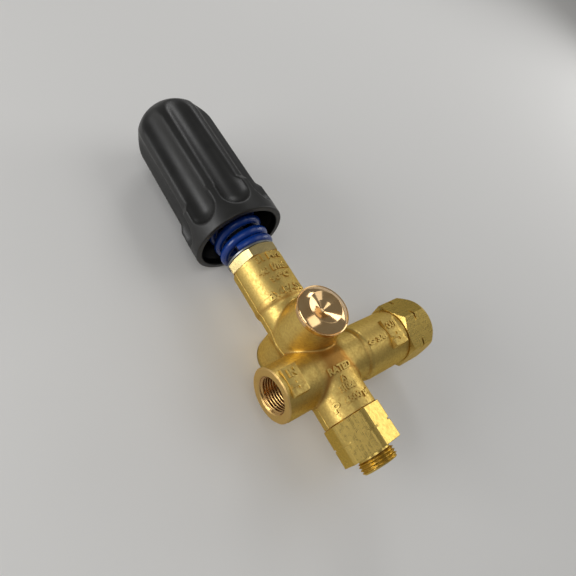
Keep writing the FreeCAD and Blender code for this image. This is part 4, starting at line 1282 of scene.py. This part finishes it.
@dataclass
class DomePlug:
    """Polished domed plug and its washer on the front boss."""

    rise: float = 18.0
    face: float = 20.6
    washer: float = 1.2
    washer_radii: tuple[float, float] = (8.4, 11.45)
    flange: float = 1.5
    radius: float = 11.8
    crest_radius: float = 7.4
    crest_height: float = 2.5
    face_radius: float = 16.5
    dish: float = 3.4

    def build(self) -> None:
        """Build plug and washer; its face bows in to a crest and dips from there to the axis.

        The bow is an arc with the radius R through the points a and b: its middle lies at
        (a + b) / 2 + n sqrt(R^2 - |b - a|^2 / 4), with n square to the chord and inwards.
        """
        foot = self.face + self.washer
        edge = foot + self.flange
        rim = self.radius - 0.7
        start, crest = np.array([rim, edge]), np.array([self.crest_radius, edge + self.crest_height])
        chord = crest - start
        inwards = np.array([-chord[1], chord[0]]) / np.linalg.norm(chord)
        middle = (start + crest) / 2 + inwards * math.sqrt(self.face_radius**2 - chord @ chord / 4)
        turn = np.linspace(*(math.atan2(*(spot - middle)[::-1]) for spot in (start, crest)), 24)[:, None]
        bow = middle + self.face_radius * np.concatenate([np.cos(turn), np.sin(turn)], axis=1)
        tip = rounded([(*bow[-2], 0), (*crest, 0.9), (self.crest_radius * 0.55, crest[1] - self.dish * 0.45, 3.0),
                       (0.9, crest[1] - self.dish + 0.12, 0.8), (0, crest[1] - self.dish, 0)], ring=False, steps=10)
        dome = np.concatenate([bow[:-2], tip])
        lower = rounded([(0, self.face - 2.6, 0), (5.4, self.face - 2.6, 0), (5.4, self.face - 9.6, 0),
                         (8.2, self.face - 9.6, 0.2), (8.2, foot, 0), (self.radius, foot, 0.3),
                         (self.radius, edge, 0.4), (rim + 0.12, edge - 0.3, 0.1), (rim, edge, 0)], ring=False, steps=5)
        plug = spun(np.concatenate([lower[:-1], dome]), columns=160).turned(Facing.FRONT, (0, 0, self.rise))
        build_piece("domed_plug", plug, Body.ROOT, POLISHED, ["dome_plug"], crease_degrees=50.0)
        hole, lip = self.washer_radii
        washer = rounded([(hole, self.face, 0.1), (lip, self.face, 0.3), (lip, foot, 0.3), (hole, foot, 0.1)],
                         ring=True)
        ring = spun(washer, columns=120, ring=True).turned(Facing.FRONT, (0, 0, self.rise))
        build_piece("plug_seal_ring", ring, Body.ROOT, POLISHED, ["plug_washer"])


@dataclass
class CoilSpring:
    """Coil spring with closed ends that shortens with the body at its top."""

    name: str
    node: str
    coil: float
    wire: float
    foot: float
    length: float
    end_rise: float
    open_turns: float
    end_turns: float
    start_degrees: float
    facing: Facing
    ground: float = 0.0
    sides: int = 24

    def centre_line(self) -> tuple[np.ndarray, np.ndarray]:
        """Middle of the wire and its height above the foot as a share of the length.

        The rise per turn is end_rise near both ends and larger between them; the height is its
        running sum, scaled so that the wire ends exactly under the top.
        """
        turns = self.open_turns + 2 * self.end_turns
        count = int(turns * 48) + 1
        turn = np.linspace(0, turns, count)
        inside = np.clip(np.minimum(turn, turns - turn) - self.end_turns + 0.35, 0, 0.7) / 0.7
        blend = inside**2 * (3 - 2 * inside)
        climb = self.length - 2 * (self.wire - self.ground)
        step = turn[1] - turn[0]
        share = (blend[1:] + blend[:-1]) / 2
        closed = self.end_rise * step * len(share)
        open_extra = (climb - closed) / (share.sum() * step)
        rise = (self.end_rise + share * open_extra) * step
        height = np.concatenate([[0], np.cumsum(rise)])
        angle = FULL_TURN * turn + math.radians(self.start_degrees)
        line = np.column_stack([self.coil * np.cos(angle), self.coil * np.sin(angle),
                                self.foot + self.wire - self.ground + height])
        return line, height / climb

    def build(self, finish: Finish, body: Body, top_body: Body) -> None:
        """Build the spring with ground ends and hook its upper end to the body that presses it.

        Args:
            finish: Finish of the wire.
            body: CAD body that carries its foot.
            top_body: CAD body that presses its top.
        """
        line, share = self.centre_line()
        inward = -line * np.array([1, 1, 0])
        shell = swept(line, self.wire, self.sides, inward)
        shell.points[:, 2] = np.clip(shell.points[:, 2], self.foot, self.foot + self.length)
        shares = np.concatenate([np.repeat(share, self.sides), share[[0, -1]]])
        spring = build_piece(self.name, shell.turned(self.facing), body, finish, [self.node], crease_degrees=60.0)
        group = spring.vertex_groups.new(name="pressed")
        for level in np.unique(np.round(shares, 4)):
            group.add(np.flatnonzero(np.abs(shares - level) < 1e-4 / 2 + 1e-9).tolist(), float(level), "REPLACE")
        anchor = bpy.data.objects.new(f"{self.name}_hook", None)
        bpy.context.scene.collection.objects.link(anchor)
        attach(anchor, top_body.value)
        hook = spring.modifiers.new("pressed", "HOOK")
        hook.object, hook.vertex_group = anchor, group.name
        hook.matrix_inverse = anchor.matrix_world.inverted() @ spring.matrix_world


@dataclass
class Knob:
    """Deep fluted adjusting knob."""

    rim: float = 73.0
    depth_to_dome: float = 65.3
    dome_radius: float = 20.25
    grip_foot_radius: float = 20.75
    grip_foot: float = 21.0
    skirt_top: float = 17.6
    skirt_top_radius: float = 22.4
    skirt_radius: float = 22.6
    flutes: int = 8
    flute_radius: float = 8.2
    flute_depth: float = 2.6
    flute_end: float = 13.0
    flute_turn: float = -145.5
    columns: int = 320

    def outline(self) -> tuple[np.ndarray, int]:
        """Outer outline from the rim to the crown, evenly divided, and inner outline back.

        Returns:
            All (radius, height) points and how many of them are on the outside.
        """
        rim, dome = self.rim, self.rim + self.depth_to_dome
        skirt = rounded([
            (20.9, rim, 0), (self.skirt_radius, rim, 1.3), (self.skirt_radius + 0.05, rim + 9, 12.0),
            (self.skirt_top_radius, rim + self.skirt_top, 1.6), (self.grip_foot_radius, rim + self.grip_foot, 2.6),
            (self.dome_radius, dome, 0),
        ], ring=False, steps=8)
        angle = np.linspace(0, math.pi / 2, 40)[1:]
        cap = np.column_stack([self.dome_radius * np.cos(angle), dome + self.dome_radius * np.sin(angle)])
        corners = np.concatenate([skirt, cap])
        spans = np.concatenate([[0], np.cumsum(np.linalg.norm(np.diff(corners, axis=0), axis=1))])
        even = np.unique(np.concatenate([np.linspace(0, spans[-1], 150), spans[: len(skirt) - 1]]))
        outer = np.column_stack([np.interp(even, spans, corners[:, 0]), np.interp(even, spans, corners[:, 1])])
        inner = rounded([
            (0, rim + 73.9, 0), (8.0, rim + 73.9, 1.0), (8.0, rim + 53.1, 0), (9.9, rim + 53.1, 0),
            (9.9, rim + 41.6, 0), (12.4, rim + 41.6, 0.4), (12.4, rim + 61.6, 1.0), (15.6, rim + 61.6, 1.0),
            (15.6, rim + 9.5, 1.0), (19.7, rim + 3.5, 1.0), (19.7, rim, 0.9), (20.9, rim, 0),
        ], ring=False)[:-1]
        return np.concatenate([outer, inner[::-1]]), len(outer)

    def build(self) -> None:
        """Build the knob.

        Each outer point moves inwards by t, straight to the axis below the dome and to the dome's
        centre above it, where t solves smooth_max(-t, flute radius - distance to the flute's
        axis) = 0. A flute is a round bar along the knob that ends in a ball at its foot.
        """
        outline, outside = self.outline()
        angle = np.linspace(0, FULL_TURN, self.columns, endpoint=False)
        normal = outline[:outside] - (0.0, self.rim + self.depth_to_dome)
        normal[:, 1] = np.maximum(normal[:, 1], 0)
        normal /= np.linalg.norm(normal, axis=1, keepdims=True)
        radius, height = outline[:outside, 0, None], outline[:outside, 1, None]
        step = FULL_TURN / self.flutes
        off = np.mod(angle - math.radians(self.flute_turn) + step / 2, step) - step / 2
        reach = self.dome_radius - self.flute_depth + self.flute_radius
        end = self.rim + self.flute_end
        above = np.clip((height - self.rim - self.skirt_top) / 9.0, 0, 1)
        soft = 0.7 + 0.9 * above**2 * (3 - 2 * above) + 0 * angle
        inward = np.zeros((outside, self.columns))
        for _ in range(90):
            r = radius - normal[:, 0, None] * inward
            h = height - normal[:, 1, None] * inward
            across = np.hypot(r * np.cos(off) - reach, r * np.sin(off))
            away = np.hypot(across, np.minimum(h - end, 0))
            inward = inward + 0.8 * keep_out(-inward, self.flute_radius - away, soft)
        r = np.maximum(radius - normal[:, 0, None] * inward, 0)
        h = height - normal[:, 1, None] * inward
        inner = outline[outside:]
        r = np.concatenate([r, np.repeat(inner[:, 0, None], self.columns, axis=1)])
        h = np.concatenate([h, np.repeat(inner[:, 1, None], self.columns, axis=1)])
        rows = np.stack([r * np.cos(angle), r * np.sin(angle), h], axis=-1)
        crown = rows[outside - 1].mean(axis=0)
        rows = np.concatenate([rows[outside - 2::-1], rows[outside:]])
        rows = np.concatenate([np.repeat(crown[None, None], self.columns, axis=1), rows])
        shell = lattice(rows).turned(Facing.UP)
        knob = build_piece("fluted_knob", shell, Body.KNOB, PLASTIC, ["adjusting_knob"], crease_degrees=45.0)
        # Painted shade: the whole inner surface of the mouth gets the darker colour and less gloss.
        painted_shade = np.zeros((len(rows) - 2, self.columns))
        painted_shade[outside:] = 1.0
        store(knob.data, "painted_shade", np.concatenate([painted_shade.ravel(), [0.0, 1.0]]))


HIDDEN_NODES: dict[str, Finish] = {
    "gland_o_ring": RUBBER, "gland_backup_ring": WHITE, "spring_plate": STEEL, "thrust_washer": STEEL,
    "knob_insert": INSERT, "stem": STEEL, "stem_nut": STEEL, "bypass_seat": STEEL, "seat_o_ring": RUBBER,
    "bypass_shutter": STEEL, "pilot_piston": STEEL, "piston_backup_ring": WHITE, "piston_o_ring": RUBBER,
    "lower_fitting_o_ring": RUBBER, "outlet_o_ring": RUBBER, "check_seat": STEEL, "check_seat_o_ring": RUBBER,
    "check_poppet": WHITE,
}


def dress_nodes(nodes: dict[str, bpy.types.Object]) -> None:
    """Give the CAD nodes that stay visible their finishes."""
    for name, finish in HIDDEN_NODES.items():
        thing = nodes[name]
        if not thing.material_slots:
            thing.data.materials.append(None)
        for slot in thing.material_slots:
            slot.material = finish.material()
        log.info("%s: CAD node in %s", name, finish.name)


@dataclass
class Studio:
    """Floor, lamps, world and camera."""

    middle: Triple = (0.03, 0.0, 0.03)
    floor_at: float = 24.05
    contact_reach: float = 3.0
    floor_colour: Colour = (0.86, 0.855, 0.84)
    world_colour: Colour = (0.190, 0.187, 0.182)
    camera_at: Triple = (-125.35, -174.51, -26.90)
    lens: float = 30.88
    right: Triple = (0.7661, -0.3874, -0.5128)
    up: Triple = (0.2742, -0.5246, 0.8060)
    back: Triple = (-0.5813, -0.7581, -0.2957)

    def build(self) -> None:
        """Build everything that isn't part of the valve."""
        bpy.context.scene.view_settings.view_transform = "Standard"
        self._floor()
        self._lamp("overhead_light", (-0.45, -1.00, -0.20), 1.0, 0.5, 0.5, 1.1)
        self._lamp("left_light", (-0.90, -0.27, 0.27), 0.75, 0.30, 0.60, 3.0)
        self._lamp("front_light", (0.58, -0.80, -0.10), 1.0, 0.40, 0.90, 1.0)
        self._lamp("right_light", (0.95, -0.30, -0.06), 0.75, 0.34, 0.40, 0.9)
        self._lamp("upper_light", (0.40, -0.52, 0.76), 0.80, 0.28, 0.28, 0.8)
        self._world()
        self._camera()

    def _floor(self) -> None:
        """Table behind the valve, which lies on its by-pass boss.

        It shows on its front only, and no reflection sees it from nearer than the contact reach,
        so that the boss's end face isn't black from behind.
        """
        half, y = 2.0, self.floor_at * MM
        mesh = bpy.data.meshes.new("floor")
        mesh.from_pydata([(-half, y, -half), (half, y, -half), (half, y, half), (-half, y, half)], [], [(0, 1, 2, 3)])
        mesh.update()
        floor = new_object("floor", mesh)
        material = bpy.data.materials.new("floor_paper")
        material.use_nodes = True
        wiring = Wiring(material.node_tree)
        path = wiring.add("LightPath")
        away = wiring.math("GREATER_THAN", path.outputs["Ray Length"], self.contact_reach * MM)
        mirrored = wiring.math("MULTIPLY", path.outputs["Is Glossy Ray"], away)
        seen = wiring.math("MAXIMUM", path.outputs["Is Camera Ray"], mirrored)
        seen = wiring.math("MAXIMUM", seen, path.outputs["Is Transmission Ray"])
        front = wiring.math("SUBTRACT", 1.0, wiring.add("NewGeometry").outputs["Backfacing"])
        shown = wiring.math("MULTIPLY", seen, front)
        paper = wiring.add("BsdfDiffuse", {"Color": (*self.floor_colour, 1)})
        clear = wiring.add("BsdfTransparent")
        mixed = wiring.add("MixShader", {"Fac": shown})
        for socket, shader in zip(mixed.inputs[1:], (clear, paper)):
            wiring.feed(socket, shader.outputs[0])
        wiring.add("OutputMaterial", {"Surface": mixed.outputs[0]})
        mesh.materials.append(material)

    def _lamp(self, name: str, direction: Sequence[float], distance: float, width: float, height: float,
              power: float) -> None:
        """Rectangular soft box that looks at the valve's middle.

        Args:
            name: Name of the lamp.
            direction: From the valve to the lamp.
            distance: How far away it is, in metres.
            width: Width in metres.
            height: Height in metres.
            power: Power in watts.
        """
        light = bpy.data.lights.new(name, "AREA")
        light.shape, light.size, light.size_y, light.energy = "RECTANGLE", width, height, power
        lamp = bpy.data.objects.new(name, light)
        way = Vector(direction).normalized()
        lamp.location = Vector(self.middle) + way * distance
        lamp.rotation_euler = way.to_track_quat("Z", "Y").to_euler()
        bpy.context.scene.collection.objects.link(lamp)

    def _world(self) -> None:
        """Even studio walls."""
        world = bpy.data.worlds.new("studio")
        world.use_nodes = True
        wiring = Wiring(world.node_tree)
        walls = wiring.add("Background", {"Color": (*self.world_colour, 1), "Strength": 1.0})
        wiring.add("OutputWorld", {"Surface": walls.outputs[0]})
        bpy.context.scene.world = world

    def _camera(self) -> None:
        """Camera at the photograph's place and angle."""
        lens = bpy.data.cameras.new("camera")
        lens.lens, lens.sensor_width, lens.clip_start = self.lens, 36.0, 0.01
        camera = bpy.data.objects.new("camera", lens)
        axes = Matrix((self.right, self.up, self.back)).transposed().to_4x4()
        place = (np.array(self.camera_at) + CROSSING) * MM
        camera.matrix_world = Matrix.Translation(Vector(place)) @ axes
        bpy.context.scene.collection.objects.link(camera)
        bpy.context.scene.camera = camera


def main() -> None:
    """Build the valve on its CAD frame and the studio round it."""
    logging.basicConfig(level=logging.INFO, format="%(message)s")
    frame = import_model()
    forging = Forging()
    forging.build()
    Lettering(forging).build()
    PortThread("inlet_thread", Facing.INLET, (0, 0, 0), forging.inlet_reach).build(THREAD)
    PortThread("bypass_thread", Facing.REAR, (0, 0, forging.boss_rise), forging.bypass_reach).build(THREAD)
    Gland().build()
    LowerFitting().build()
    OutletFitting().build()
    DomePlug().build()
    CoilSpring("blue_coil", "pressure_spring", 10.9, 2.15, 62.7, 47.0, 4.3, 5.5, 1.0, -140.0, Facing.UP, 0.85).build(
        PAINT, Body.ROOT, Body.PLATE)
    CoilSpring("check_coil", "check_spring", 4.5, 0.5, 26.4, 13.7, 1.1, 4.0, 0.5, 0.0, Facing.OUTLET).build(
        STEEL, Body.ROOT, Body.CHECK)
    Knob().build()
    dress_nodes(frame["nodes"])
    Studio().build()
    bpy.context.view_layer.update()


if __name__ == "__main__":
    main()
